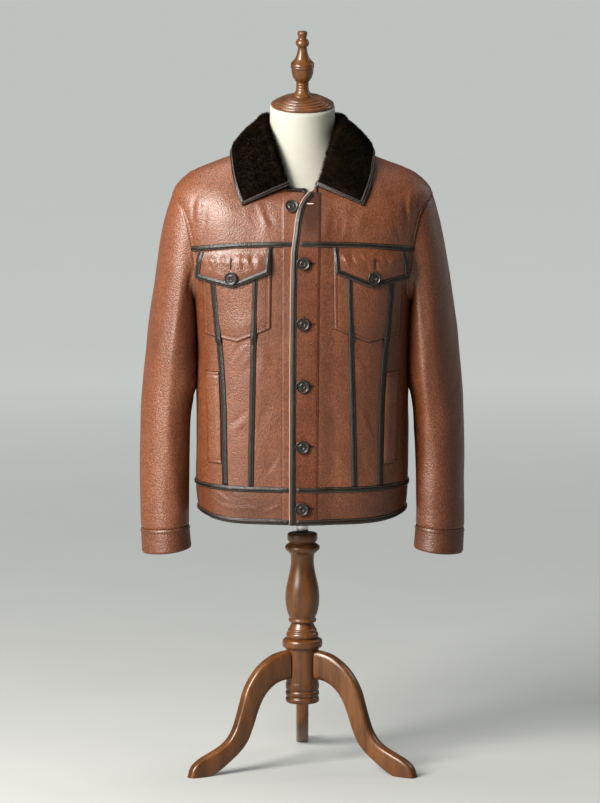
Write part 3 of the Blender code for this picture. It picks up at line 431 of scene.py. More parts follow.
def divided(points, counts):
    """The same straight-sided polyline with its corners kept and each side divided."""
    made = [points[:1]]
    for a, b, count in zip(points, points[1:], counts):
        made.append(a + (b - a) * (np.arange(1, count + 1) / count)[:, None])
    return np.concatenate(made)


# ---------------------------------------------------------------- materials


def toned(colour, factor):
    return tuple(min(c * factor, 1) for c in colour)


class Shading:
    """A Principled material whose nodes are added one by one."""

    def __init__(self, name, colour, roughness, metallic=0.0, **sockets):
        self.material = bpy.data.materials.new(name)
        self.material.use_nodes = True
        self.tree = self.material.node_tree
        self.shader = self.tree.nodes["Principled BSDF"]
        self.shader.inputs["Base Color"].default_value = (*colour, 1.0)
        self.shader.inputs["Roughness"].default_value = roughness
        self.shader.inputs["Metallic"].default_value = metallic
        for socket, value in sockets.items():
            self.shader.inputs[socket.replace("_", " ")].default_value = value
        self.place = self.node("TexCoord").outputs["Object"]

    def node(self, kind, **values):
        made = self.tree.nodes.new("ShaderNode" + kind)
        for key, value in values.items():
            setattr(made, key, value)
        return made

    def link(self, source, target):
        self.tree.links.new(source, target)

    def mapped(self, scale, rotation=(0, 0, 0)):
        mapping = self.node("Mapping")
        mapping.inputs["Scale"].default_value = scale
        mapping.inputs["Rotation"].default_value = rotation
        self.link(self.place, mapping.inputs["Vector"])
        return mapping.outputs["Vector"]

    def noise(self, scale, detail=2.0, roughness=0.5, place=None):
        made = self.node("TexNoise")
        for socket, value in (("Scale", scale), ("Detail", detail), ("Roughness", roughness)):
            made.inputs[socket].default_value = value
        self.link(place or self.place, made.inputs["Vector"])
        return made.outputs["Fac"]

    def cells(self, scale, place=None):
        made = self.node("TexVoronoi", feature="SMOOTH_F1")
        made.inputs["Scale"].default_value = scale
        self.link(place or self.place, made.inputs["Vector"])
        return made.outputs["Distance"]

    def span(self, source, low, high, to_low, to_high):
        made = self.node("MapRange")
        for socket, value in zip(("From Min", "From Max", "To Min", "To Max"), (low, high, to_low, to_high)):
            made.inputs[socket].default_value = value
        self.link(source, made.inputs["Value"])
        return made.outputs["Result"]

    def mix(self, share, first, second):
        made = self.node("Mix", data_type="RGBA")
        for socket, value in ((0, share), (6, first), (7, second)):
            if isinstance(value, tuple):
                made.inputs[socket].default_value = (*value, 1.0)
            else:
                self.link(value, made.inputs[socket])
        return made.outputs[2]

    def veil(self, tone, pattern, start, full, most, colour):
        """A colour laid over a tone, up to the share most, where a pattern rises from start to full."""
        return self.mix(self.span(pattern, start, full, 0.0, most), tone, colour)

    def sum(self, first, second, weight):
        made = self.node("Math", operation="MULTIPLY_ADD")
        self.link(second, made.inputs[0])
        made.inputs[1].default_value = weight
        self.link(first, made.inputs[2])
        return made.outputs[0]

    def bump(self, height, strength, distance):
        made = self.node("Bump")
        made.inputs["Strength"].default_value = strength
        made.inputs["Distance"].default_value = distance
        self.link(height, made.inputs["Height"])
        self.link(made.outputs["Normal"], self.shader.inputs["Normal"])

    def paint(self, colour):
        self.link(colour, self.shader.inputs["Base Color"])

    def spread(self, pattern, low, high):
        """The usual range of a noise's values, spread from low to high."""
        return self.span(pattern, 0.3, 0.7, low, high)

    def gloss(self, roughness):
        self.link(roughness, self.shader.inputs["Roughness"])


NECK_SHADE_SCALE = (2.0, 0.4, 0.9)
NECK_SHADE_CENTRE = (0.0330, -0.0640, 0.9350)  # in scaled metres, the neck's corner above the top button, where the painted shade is darkest


def leather_material(name, light, dark, low, high, pebble=400.0, depth=0.0007, level=0.72, shade=0.45):
    """Pebbled grain leather: cells in relief, the tone drifting over a hand's breadth, and shade painted in
    by the neck on the +X front, below the collar.
    """
    made = Shading(name, light, (low + high) / 2, Specular_IOR_Level=level)
    drift = made.noise(6.0, 3.0, 0.55)
    patches = made.noise(38.0, 3.0, 0.6)
    fine = made.noise(900.0, 2.0, 0.6)
    flecks = made.noise(330.0, 2.0, 0.5)
    warp = made.node("VectorMath", operation="ADD")
    shake = made.node("TexNoise")
    shake.inputs["Scale"].default_value = 210.0
    small = made.node("VectorMath", operation="SCALE")
    small.inputs["Scale"].default_value = 0.0028
    made.link(made.place, shake.inputs["Vector"])
    made.link(shake.outputs["Color"], small.inputs[0])
    made.link(made.place, warp.inputs[0])
    made.link(small.outputs[0], warp.inputs[1])
    grain = made.cells(pebble, warp.outputs[0])
    tone = made.veil(dark, drift, 0.36, 0.66, 1.0, light)
    tone = made.veil(tone, patches, 0.40, 0.72, 0.30, toned(light, 1.25))
    tone = made.veil(tone, grain, 0.22, 0.58, 0.60, toned(dark, 0.45))
    tone = made.veil(tone, flecks, 0.46, 0.68, 0.50, toned(dark, 0.50))
    away = made.node("VectorMath", operation="DISTANCE")
    made.link(made.mapped(NECK_SHADE_SCALE), away.inputs[0])
    away.inputs[1].default_value = NECK_SHADE_CENTRE
    # painted shade: the colour darkens towards the neck's corner above the top button, below the collar, and
    # the gloss dulls there
    shaded, duller = (made.span(away.outputs["Value"], 0.030, 0.066, most, 0.0) for most in (shade, 1.0))
    made.paint(made.mix(shaded, tone, toned(dark, 0.30)))
    made.gloss(made.sum(made.spread(patches, low, high), duller, 0.30))
    height = made.sum(made.sum(made.span(grain, 0.0, 0.7, 1.0, 0.0), flecks, 0.6), fine, 0.2)
    made.bump(height, 0.55, depth)
    return made.material


def trim_material(name, colour, low, high):
    """Smooth dark leather with a fine grain and faint rubbed patches."""
    made = Shading(name, colour, low, Specular_IOR_Level=0.50)
    patches = made.noise(150.0, 3.0, 0.6)
    fine = made.cells(820.0)
    rubbed = tuple(c * 2.0 + 0.003 for c in colour)
    made.paint(made.veil(colour, patches, 0.46, 0.78, 0.50, rubbed))
    made.gloss(made.spread(patches, low, high))
    made.bump(made.sum(made.span(fine, 0.0, 0.7, 1.0, 0.0), patches, 1.0), 0.55, 0.0006)
    return made.material


def wood_material(name, light, dark, tilt=(0.0, 0.0, 0.0)):
    """Stained straight-grained wood under satin lacquer."""
    made = Shading(name, light, 0.38, Coat_Weight=0.28, Coat_Roughness=0.20)
    figure = made.noise(1.0, 5.0, 0.62, made.mapped((42.0, 42.0, 3.2), tilt))
    pores = made.noise(1.0, 2.0, 0.5, made.mapped((520.0, 520.0, 26.0), tilt))
    drift = made.noise(9.0, 2.0, 0.5)
    tone = made.veil(dark, figure, 0.36, 0.66, 1.0, light)
    tone = made.veil(tone, pores, 0.50, 0.72, 0.55, toned(dark, 0.42))
    made.paint(made.veil(tone, drift, 0.40, 0.70, 0.30, toned(light, 1.3)))
    made.gloss(made.spread(figure, 0.30, 0.42))
    made.bump(made.sum(figure, pores, 0.6), 0.16, 0.0004)
    return made.material


def fur_material(name, dark, light, roughness, shine):
    """Dense pile: nearly black, with browner locks."""
    made = Shading(name, dark, roughness, Specular_IOR_Level=shine)
    patches = made.noise(24.0, 3.0, 0.6)
    fine = made.noise(520.0, 2.0, 0.6)
    tone = made.veil(dark, patches, 0.44, 0.70, 0.85, light)
    made.paint(made.veil(tone, fine, 0.45, 0.75, 0.60, toned(light, 2.2)))
    made.bump(fine, 0.5, 0.0012)
    return made.material


def cloth_material():
    """Plain woven cover of the form: threads both ways in low relief."""
    made = Shading("form_cloth", (0.355, 0.347, 0.298), 0.85, Sheen_Weight=0.05)
    tone = made.noise(14.0, 3.0, 0.55)
    made.paint(made.veil((0.365, 0.356, 0.306), tone, 0.35, 0.70, 1.0, (0.328, 0.320, 0.266)))
    threads = []
    for axis in ("X", "Z"):
        wave = made.node("TexWave", bands_direction=axis)
        for socket, value in (("Scale", 260.0), ("Distortion", 1.2), ("Detail Scale", 3.0)):
            wave.inputs[socket].default_value = value
        made.link(made.place, wave.inputs["Vector"])
        threads.append(wave.outputs["Fac"])
    weave = made.sum(threads[0], threads[1], 1.0)
    made.bump(made.sum(weave, made.noise(600.0), 0.6), 0.22, 0.0003)
    return made.material


def horn_material():
    made = Shading("horn", (0.020, 0.015, 0.012), 0.34, Coat_Weight=0.25, Coat_Roughness=0.26)
    streak = made.noise(1.0, 4.0, 0.6, made.mapped((120.0, 120.0, 420.0)))
    made.paint(made.veil((0.018, 0.013, 0.010), streak, 0.45, 0.72, 0.8, (0.070, 0.052, 0.040)))
    made.gloss(made.spread(streak, 0.30, 0.44))
    made.bump(streak, 0.10, 0.0003)
    return made.material


def steel_material():
    made = Shading("steel", (0.58, 0.58, 0.57), 0.30, metallic=1.0)
    brushed = made.noise(1.0, 3.0, 0.6, made.mapped((60.0, 60.0, 2400.0)))
    made.gloss(made.spread(brushed, 0.22, 0.42))
    made.bump(brushed, 0.12, 0.0002)
    return made.material


def plain_material(name, colour, roughness):
    made = Shading(name, colour, roughness)
    made.bump(made.noise(1500.0), 0.3, 0.0002)
    return made.material


LEATHER = leather_material("leather", (0.205, 0.0690, 0.0260), (0.145, 0.0450, 0.0168), 0.40, 0.50)
# painted shade: a darker copy of the leather for the hem bands and cuffs, which lie low and get less light
BAND_LEATHER_PAINTED_SHADE = leather_material("band_leather_painted_shade", (0.165, 0.0530, 0.0195), (0.112, 0.0345, 0.0128), 0.42, 0.52)
# painted shade: a darker, duller copy of the leather, with more of the painted neck shade, for the +X placket
# below the collar
PLACKET_LEATHER_PAINTED_SHADE = leather_material(
    "placket_leather_painted_shade", (0.165, 0.0510, 0.0185), (0.115, 0.0345, 0.0125), 0.46, 0.56, level=0.42, shade=0.80
)
POCKET_LEATHER = leather_material(
    "pocket_leather", (0.198, 0.0660, 0.0250), (0.130, 0.0405, 0.0150), 0.36, 0.46, 460.0, 0.0008
)
TRIM_LEATHER = trim_material("trim_leather", (0.0105, 0.0062, 0.0038), 0.31, 0.42)
WOOL = fur_material("wool", (0.008, 0.0055, 0.0035), (0.020, 0.013, 0.008), 0.9, 0.1)
FUR = fur_material("fur", (0.0034, 0.0022, 0.0009), (0.0135, 0.0088, 0.0036), 0.70, 0.06)
THREAD = plain_material("thread_dark", (0.200, 0.172, 0.150), 0.60)
THREAD_TAN = plain_material("thread_tan", (0.060, 0.019, 0.0085), 0.60)
PALE_EDGE = plain_material("pale_edge", (0.520, 0.400, 0.310), 0.60)
DARK_SLIT = plain_material("dark_slit", (0.018, 0.0055, 0.0028), 0.75)
HORN = horn_material()
STEEL = steel_material()
CLOTH = cloth_material()
WOOD = wood_material("wood", (0.150, 0.0575, 0.0145), (0.053, 0.0180, 0.0045))
LEG_WOOD = wood_material("leg_wood", (0.175, 0.069, 0.0190), (0.066, 0.0235, 0.0062), (0.0, 0.75, 0.0))

# ---------------------------------------------------------------- stitches

STITCHES = {"dark": [], "tan": []}


def sew(kind, points, ups, lift=0.0002, pitch=0.0032, length=0.0023, thick=0.00050):
    """A row of stitches along a line of points with their normals."""
    points, ups = np.asarray(points, float), np.asarray(ups, float)
    lengths = steps_of(points)
    count = int(lengths[-1] / pitch)
    if count < 2:
        return
    middle = (np.arange(count) + 0.5) * lengths[-1] / count
    along = unit(taken(points, lengths, middle + 0.001) - taken(points, lengths, middle - 0.001))
    up = unit(taken(ups, lengths, middle))
    aside = np.cross(up, along)
    centre = taken(points, lengths, middle) + up * lift
    half = length / 2
    corners = [
        centre - along * half - up * thick * 0.4,
        centre + along * half - up * thick * 0.4,
        centre + aside * thick,
        centre - aside * thick,
        centre + up * thick,
        centre - up * thick * 1.5,
    ]
    STITCHES[kind].append(np.stack(corners, axis=1).reshape(-1, 3))


def make_stitches():
    """Each stitch is a small spindle of eight triangles."""
    pattern = [(0, 2, 4), (2, 1, 4), (1, 3, 4), (3, 0, 4), (2, 0, 5), (1, 2, 5), (3, 1, 5), (0, 3, 5)]
    for kind, slot, material in (("dark", "trim", THREAD), ("tan", "leather", THREAD_TAN)):
        points = np.concatenate(STITCHES[kind])
        made = piece(f"stitches_{kind}", points, repeated(pattern, 6, len(points) // 6), [material])
        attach(made, "root")


# ---------------------------------------------------------------- jacket panels


def grid(levels, across, first, last, height):
    """Angle and level of each point: first and last give a row's ends, height bends the row."""
    nominal = np.asarray(levels)[:, None] + np.zeros(len(across))[None, :]
    level = nominal.copy()
    for _ in range(14):
        start, end = first(level), last(level)
        angle = start + (end - start) * across[None, :]
        level = height(nominal, angle)
    return angle, np.clip(level, HEM, NECK)


def panel(name, angle, level, side=1, lapped=False, armhole=False):
    """A wall of the jacket's body over a grid of angles and levels, rounded off at its edges."""
    flip = np.array([side, 1, 1])
    base, up = body(angle, level) * flip, normal(angle, level) * flip
    lift = relief(base) - rounded_off(edge_distance(base))
    if armhole:
        gap = (arm_angle(level) - np.abs(angle)) * 0.0040
        beside = (level > UNDERARM + 0.004) & (level < SHOULDER)
        lift = lift + (0.0022 * bell(gap, 0.0026, 0.0020) - 0.0012 * bell(gap, 0.0085, 0.0038)) * beside
    if lapped:
        lift = lift + np.where(np.abs(angle) < 90, lap(base[..., 0]), 0.0)
    outer = base + up * lift[..., None]
    inner = base + up * (lift - WALL)[..., None]
    # the hem bands take the darker band leather: painted shade
    leather = BAND_LEATHER_PAINTED_SHADE if name.startswith("hem_band") else LEATHER
    made = shell(name, outer, inner, [leather, WOOL])
    declare(outer)


def levels_between(low, high, step, fine=()):
    made = low + (high - low) * shares(high - low, step)
    for start, end, small in fine:
        made = np.concatenate([made, np.arange(start, end, small)])
    made = np.unique(np.round(made, 5))
    return made[np.concatenate([[True], np.diff(made) > 0.0003])]


def below_yoke(nominal, angle):
    bent = 0.9 + (nominal - 0.9) * (yoke_level(angle) - 0.9) / (YOKE_TOP - 0.9)
    return np.where(nominal <= 0.9, nominal, bent)


def above_yoke(nominal, angle):
    start = yoke_level(angle)
    bent = start + (nominal - YOKE_TOP) * (SHOULDER - start) / (SHOULDER - YOKE_TOP)
    return np.where(nominal >= SHOULDER, nominal, bent)


def same_level(nominal, angle):
    return nominal


def inner_seam(level):
    return angle_at(between(SEAM_IN, level), level)


def outer_seam(level):
    return angle_at(between(SEAM_OUT, level), level)


def make_fronts():
    plain = levels_between(HEM_SEAM, YOKE_TOP, 0.0042)
    lower = levels_between(HEM_SEAM, YOKE_TOP, 0.0046, [(UNDERARM - 0.002, 0.878, 0.0012)])
    upper = levels_between(YOKE_TOP, NECK, 0.0034, [(1.004, 1.0235, 0.0010)])
    hem = levels_between(HEM, HEM_SEAM, 0.0034)
    for word, side, edge in (("left", -1, UNDER_EDGE), ("right", 1, EDGE)):

        def closing(level, edge=edge, side=side):
            return angle_at(side * between(edge, level), level)

        def side_seam(level):
            return np.full(np.shape(level), 90.0)

        for kind, levels, across, first, last, height, lapped, armhole in (
            ("front_centre", plain, shares(0.10, 0.0034), closing, inner_seam, below_yoke, True, False),
            ("front_middle", plain, shares(0.06, 0.0036), inner_seam, outer_seam, below_yoke, False, False),
            ("front_side", lower, shares(0.12, 0.0040), outer_seam, arm_angle, below_yoke, False, True),
            ("front_yoke", upper, shares(0.22, 0.0034), closing, arm_angle, above_yoke, True, True),
            ("hem_band", hem, shares(0.26, 0.0038), closing, side_seam, same_level, True, False),
        ):
            rows = grid(levels, across, first, last, height)
            panel(f"{kind}_{word}", *rows, side, lapped and side > 0, armhole)


def make_back():
    fine = [(UNDERARM - 0.002, 0.878, 0.0014), (1.004, 1.0235, 0.0012)]
    levels = levels_between(HEM_SEAM, NECK, 0.0050, fine)
    ends = [arm_angle_back, lambda level: 360 - arm_angle_back(level)]
    panel("back", *grid(levels, shares(0.48, 0.0046), *ends, same_level))
    levels = levels_between(HEM, HEM_SEAM, 0.0040)
    ends = [lambda level: np.full(np.shape(level), 90.0), lambda level: np.full(np.shape(level), 270.0)]
    panel("hem_band_back", *grid(levels, shares(0.56, 0.0046), *ends, same_level))


# ---------------------------------------------------------------- sleeves

# height, outer edge seen from the front, half of the width seen from the front, half depth, middle in y
SLEEVE = np.array([
    (3930, 2925, 452, 530, -240), (4450, 2942, 442, 530, -185), (5613, 2957, 450, 570, -90),
    (6423, 2942, 458, 610, -45), (7230, 2892, 473, 650, -20), (7853, 2833, 442, 670, -10),
    (8400, 2775, 400, 680, 0),
]) / 1e4
SLEEVE_TOP = 0.8400
SLEEVE_TURN = 18.0
CUFF_SEAM, CUFF_END = 0.4480, 0.4055


def sleeve_point(turn, z):
    """The sleeve's outer surface: turn 0 is the outer side and a quarter turn the front."""
    turn, z = np.broadcast_arrays(np.asarray(turn, float), np.asarray(z, float))
    edge, span, deep, middle = np.moveaxis(between(SLEEVE, z), -1, 0)
    s, c = math.sin(SLEEVE_TURN * DEG), math.cos(SLEEVE_TURN * DEG)
    wide = np.sqrt(span**2 - (deep * s) ** 2) / c
    u, v = wide * np.cos(turn), deep * np.sin(turn)
    return np.stack([edge - span + u * c - v * s, middle - v * c - u * s, z], -1)


# height, how far the sleeve swells towards the body, so that no gap shows above the waist
PRESSED = np.array([
    (6600, 0), (6900, 12), (7050, 42), (7400, 44), (7800, 44), (8200, 52), (8500, 52), (8800, 0),
]) / 1e4
PRESSED_TURN = 2.69


def arm_line(front, count):
    """Angle and level at evenly spaced points of the armhole from the shoulder down, on one side."""
    levels = np.linspace(SHOULDER - 1e-6, UNDERARM + 1e-6, 900)
    angles = arm_angle(levels) if front else arm_angle_back(levels)
    lengths = steps_of(body(angles, levels))
    wanted = np.linspace(0, lengths[-1], count)
    return np.interp(wanted, lengths, angles), np.interp(wanted, lengths, levels)


ARM_COUNT = 52  # points of the armhole from the shoulder to its lowest point
SLEEVE_ROUND = 0.055  # radius at which the table of folds turns degrees into metres
HEAD_STEPS = np.concatenate([[0.0, 0.006, 0.014, 0.024, 0.036], np.linspace(0.055, 1.0, 30)])
SLEEVE_HEIGHTS = np.concatenate([np.linspace(0.8355, 0.456, 91), [0.4540, 0.4522, 0.4506, 0.4494, 0.4482]])


def sleeve_grid():
    """Turns, rows of points and outward normals of the +X sleeve, and how near each row is to the armhole."""
    front, back = arm_line(True, ARM_COUNT), arm_line(False, ARM_COUNT)
    angle, level = (np.concatenate([a, b[::-1][1:-1]]) for a, b in zip(front, back))
    down, up_again = np.linspace(0, math.pi, ARM_COUNT), np.linspace(math.pi, 2 * math.pi, ARM_COUNT)
    turns = np.concatenate([down, up_again[1:-1]])
    points = body(angle, level)
    end = sleeve_point(turns, SLEEVE_TOP)
    start = points + unit(points - points.mean(axis=0)) * np.array([0, 1, 1]) * -0.0004
    low = (1 - np.cos(turns)) / 2
    bend = np.stack(
        [
            start[:, 0] + (end[:, 0] - start[:, 0]) * 0.60 + 0.0105 * low**2,
            start[:, 1] * 0.55 + end[:, 1] * 0.45,
            start[:, 2] + (end[:, 2] - start[:, 2]) * 0.27 + 0.0110 * low**2,
        ],
        -1,
    )
    rows = []
    for step in HEAD_STEPS:
        rows.append(start * (1 - step) ** 2 + bend * 2 * step * (1 - step) + end * step**2)
    for z in SLEEVE_HEIGHTS:
        tilt = 0.0035 * ease(0.52, 0.45, z)
        rows.append(sleeve_point(turns, z) - np.stack([0 * turns, 0 * turns, tilt * np.cos(turns)], -1))
    rows = np.array(rows)
    first, last = 22, 50
    for _ in range(40):
        around = rows[first - 1 : last - 1] + rows[first + 1 : last + 1]
        rows[first:last] = 0.5 * rows[first:last] + 0.25 * around
    out = grid_normals(rows, ring=True)
    if out[60, 0, 0] < 0:
        out = -out
    steps = np.concatenate([HEAD_STEPS, np.ones(len(rows) - len(HEAD_STEPS))])
    near = (1 - ease(0.0, 0.12, steps))[:, None]
    out = unit(out * (1 - near[..., None]) + normal(angle, level)[None] * near[..., None])
    return turns, rows, out, near


def make_sleeves():
    turns, rows, out, near = sleeve_grid()
    for word, side, folds in (("left", -1, SLEEVE_FOLDS_LEFT), ("right", 1, SLEEVE_FOLDS_RIGHT)):
        flip = np.array([side, 1, 1])
        base, up = rows * flip, out * flip
        table = [(a * DEG * SLEEVE_ROUND, b, c * DEG * SLEEVE_ROUND, d, w, h) for a, b, c, d, w, h in folds]
        u = np.broadcast_to(turns[None, :] * SLEEVE_ROUND, rows.shape[:2])
        z = rows[..., 2]
        lift = unevenness(base) * 1.1
        for turn in (-1, 0, 1):
            lift = lift + creases(u + turn * 2 * math.pi * SLEEVE_ROUND, z, table)
        lift = lift * (1 - near) + relief(np.broadcast_to(base[:1], base.shape)) * near
        lift = lift - rounded_off(edge_distance(base, ring=True), 0.0016, 0.0040)
        lift = lift + between(PRESSED, z) * (1 - near) * bell(turns[None, :], PRESSED_TURN, 0.75)
        outer = base + up * lift[..., None]
        inner = base + up * (lift - WALL)[..., None]
        ring = np.concatenate([outer[0], outer[0, :1]])
        seam_and_shade_line(ring, np.concatenate([up[0], up[0, :1]]), half=0.0006)
        made = shell(f"sleeve_{word}", outer, inner, [LEATHER, WOOL], ring=True)
        declare(outer, ring=True)
        make_cuff(word, flip)


def make_cuff(word, flip):
    turns = circle(96)
    outer, inner = [], []
    length = CUFF_SEAM - CUFF_END
    for share in shares(length, 0.0036):
        z = CUFF_SEAM - 0.0002 - length * share
        point = sleeve_point(turns, z)
        middle = (sleeve_point(0, z) + sleeve_point(math.pi, z)) / 2
        axis = unit((point - middle) * np.array([1, 1, 0]))
        point = point - np.stack([0 * turns, 0 * turns, (0.0035 + 0.002 * share) * np.cos(turns)], -1)
        outer.append(point + axis * 0.0004)
        inner.append(point - axis * (WALL + 0.0006))
        if 0.10 < share < 0.16:
            sew("tan", (point + axis * 0.0010) * flip, axis * flip)
    outer, inner = np.array(outer) * flip, np.array(inner) * flip
    up = unit(outer - inner)
    down = steps_of(outer)
    fold = 0.0006 * np.sin(turns[None, :] * 5 + 1.1) * ease(0.0, 0.02, down)
    lift = unevenness(outer) * 0.8 + fold * 0.5 - rounded_off(edge_distance(outer, ring=True))
    lift = lift - 0.0006 * bell(down, 0.0065, 0.0012)
    outer = outer + up * lift[..., None]
    # the cuff takes the darker band leather: painted shade
    made = shell(f"cuff_{word}", outer, inner, [BAND_LEATHER_PAINTED_SHADE, WOOL], ring=True)
    declare(outer, ring=True)


# ---------------------------------------------------------------- pieces that lie on the fronts

POCKET = 0.0022
STRIP, STRIP_HALF = 0.0014, 0.0052
FLAP = 0.0024
BINDING, BINDING_WIDTH = 0.0012, 0.0112
PLACKET = 0.0009
TRIM = 0.0011
POCKET_TOP = 0.9420
POCKET_LOW = np.array([(572, 8208), (1176, 7945), (1755, 8060)]) / 1e4
FLAP_HIGH = np.array([(545, 9665), (1190, 9638), (1835, 9560)]) / 1e4
FLAP_LOW = np.array([(580, 9195), (1222, 8928), (1868, 9075)]) / 1e4
POCKET_SIDES = (0.0572, 0.1755), (0.0555, 0.1795)
FLAP_SIDES = (0.0580, 0.1868), (0.0545, 0.1835)
# the trim along the flap's sides and lower edge: the corners of its outer and its inner line
FLAP_RIM = np.array([(545, 9662), (580, 9195), (1222, 8928), (1868, 9075), (1836, 9556)]) / 1e4
FLAP_RIM_INSIDE = np.array([(635, 9656), (666, 9262), (1218, 9030), (1778, 9158), (1746, 9562)]) / 1e4
# wrinkles of the flaps as the fronts' folds above
FLAP_FOLDS = np.array([
    (-1600, 9560, -1480, 9230, 50, 13), (-1500, 9400, -1380, 9160, 30, -10),
    (-1660, 9420, -1560, 9240, 30, -8), (-1400, 9540, -1330, 9330, 34, 11),
    (-1160, 9560, -1080, 9300, 40, 13), (-1100, 9480, -990, 9220, 28, -10),
    (-980, 9500, -880, 9290, 36, 12), (-860, 9560, -940, 9360, 26, -8), (-780, 9520, -760, 9300, 40, 9),
    (700, 9560, 820, 9240, 22, 13), (740, 9440, 800, 9260, 26, -8), (860, 9560, 940, 9330, 30, -9),
    (1020, 9600, 1110, 9320, 20, 13), (1080, 9480, 1180, 9220, 28, -9), (1300, 9420, 1380, 9180, 22, 10),
    (1420, 9520, 1500, 9300, 36, -9), (1580, 9440, 1560, 9240, 40, 8),
]) / 1e4


STRIP_ACROSS = np.array([0.0, 0.04, 0.10, 0.2, 0.35, 0.5, 0.65, 0.8, 0.90, 0.96, 1.0])
ROUND_STRIP_ACROSS = np.array([0.0, 0.05, 0.12, 0.2, 0.35, 0.5, 0.65, 0.8, 0.88, 0.95, 1.0])
SEWN_COLUMNS = (3, 7)


def strip_section(across):
    """Height of a folded strip over its width, pressed in under its two rows of stitches."""
    edge = np.minimum(across, 1 - across)
    section = 0.10 + 0.75 * ease(0.0, 0.16, edge) + 0.85 * np.sin(math.pi * across) ** 2
    return section - 0.42 * bell(across, 0.2, 0.07) - 0.42 * bell(across, 0.8, 0.07)


def finish_strip(name, outer, inner, up):
    shell(name, outer, inner, [TRIM_LEATHER])
    for column in SEWN_COLUMNS:
        sew("dark", outer[:, column], up[:, column])


def strip(name, left, right, base, thick):
    """A flat strip on the front between two lines of (x, z), sewn down along both edges."""
    x = left[:, :1] + (right[:, :1] - left[:, :1]) * STRIP_ACROSS
    z = left[:, 1:] + (right[:, 1:] - left[:, 1:]) * STRIP_ACROSS
    out = base(x, z)
    outer, up = on_body(x, z, out + thick * strip_section(STRIP_ACROSS))
    inner, _ = on_body(x, z, out - 0.0002)
    finish_strip(name, outer, inner, up)


def patch(name, x, z, base, height, material):
    """A piece of leather laid on the front over a grid of x and z."""
    out = base(x, z)
    outer, up = on_body(x, z, out + height)
    inner, _ = on_body(x, z, out - 0.0001)
    made = shell(name, outer, inner, [material])
    declare(outer)
    return outer, up


def straight(table, x):
    return np.interp(x, table[:, 0], table[:, 1])


def pocket_rise(z, x):
    low = straight(POCKET_LOW, x)
    return (POCKET + SEAT + 0.0002) * ease(low - 0.014, low - 0.004, z)


def outline(sides, low, high, parts, rows, side):
    """x and z of a grid between a lower edge, a table, and an upper edge, a function of the distance."""
    parts, rows = np.asarray(parts)[None, :], np.asarray(rows)[:, None]
    x_low, x_high = (ends[0] + (ends[1] - ends[0]) * parts for ends in sides)
    z_low, z_high = straight(low, x_low), high(x_high)
    return side * (x_low + (x_high - x_low) * rows), z_low + (z_high - z_low) * rows


# dark lines at the seams: the joints themselves, partly painted shade
SEAM_AND_SHADE_LINES = []


def seam_and_shade_line(points, ups, half=0.00042, lift=0.00035):
    """A dark line where two leathers meet, along a line of points with their normals: the dark joint, and
    painted shade in it and under a raised edge.
    """
    along = unit(np.gradient(points, axis=0))
    aside = np.cross(unit(ups), along) * half
    section = [points - aside - ups * half, points + ups * lift, points + aside - ups * half]
    SEAM_AND_SHADE_LINES.append(np.stack(section, 1))


def make_seam_and_shade_lines():
    points = np.concatenate([line.reshape(-1, 3) for line in SEAM_AND_SHADE_LINES])
    faces, first = [], 0
    for line in SEAM_AND_SHADE_LINES:
        start = first + 3 * np.arange(len(line) - 1)[:, None]
        for a, b in ((0, 1), (1, 2), (2, 0)):
            faces.append(start + np.array([a, b, b + 3, a + 3]))
        first += 3 * len(line)
    made = piece("seam_and_shade_lines", points, np.concatenate(faces), [DARK_SLIT])
    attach(made, "root")


PLACKET_ROWS = 245
PLACKET_FOLD = np.array([0, 0.0003, 0.0007, 0.0012, 0.0018, 0.0023, 0.0028, 0.0035, 0.0050])
PLACKET_SEWN = 5  # the column of the fold that is sewn down


def make_plackets():
    """The band sewn on beside each closing edge: one raised edge, one row of stitches, a dark seam line."""
    z = np.linspace(0.4665, 1.0620, PLACKET_ROWS)
    left_end = np.minimum(between(EDGE, z) + 0.0060, between(UNDER_EDGE, z) - 0.0004)
    reach = PLACKET_FOLD[-1]
    for word, seam, end, side, top in (
        ("left", np.full(PLACKET_ROWS, PLACKET_LEFT), left_end, 1, z[-1]),
        ("right", between(PLACKET_RIGHT, z), between(EDGE, z) + 0.0045, -1, 1.0610),
    ):
        kept = z <= top
        seam, end = seam[kept], end[kept]
        fold = seam[:, None] + side * PLACKET_FOLD
        span = end - seam - side * reach
        rest = (seam + side * reach)[:, None] + span[:, None] * np.linspace(0, 1, 8)[1:]
        x = np.concatenate([fold, rest], axis=1)
        level = np.repeat(z[kept][:, None], x.shape[1], axis=1)
        away = np.abs(x - seam[:, None])
        height = PLACKET * ease(-0.0006, 0.0032, away) - 0.0004 * bell(away, 0.0023, 0.0006)
        under = lap(x) * (side < 0)
        outer, up = on_body(x, level, under + height)
        inner, _ = on_body(x, level, under - 0.0002)
        # side below 0 is the +X placket, which takes the darker leather with its painted shade
        leather = LEATHER if side > 0 else PLACKET_LEATHER_PAINTED_SHADE
        shell(f"placket_{word}", outer, inner, [leather], added=True)
        sew("tan", outer[:, PLACKET_SEWN], up[:, PLACKET_SEWN])
        points, ups = on_body(seam - side * 0.0004, z[kept], under[:, 0])
        seam_and_shade_line(points, ups, half=0.0008)


POCKET_SEWN = 0.0056  # distance of the pocket's stitches from its edge


def upper_lap(x, side):
    """The lap under what lies on the +X front; the other front has none."""
    return lap(np.abs(x)) * (side > 0)


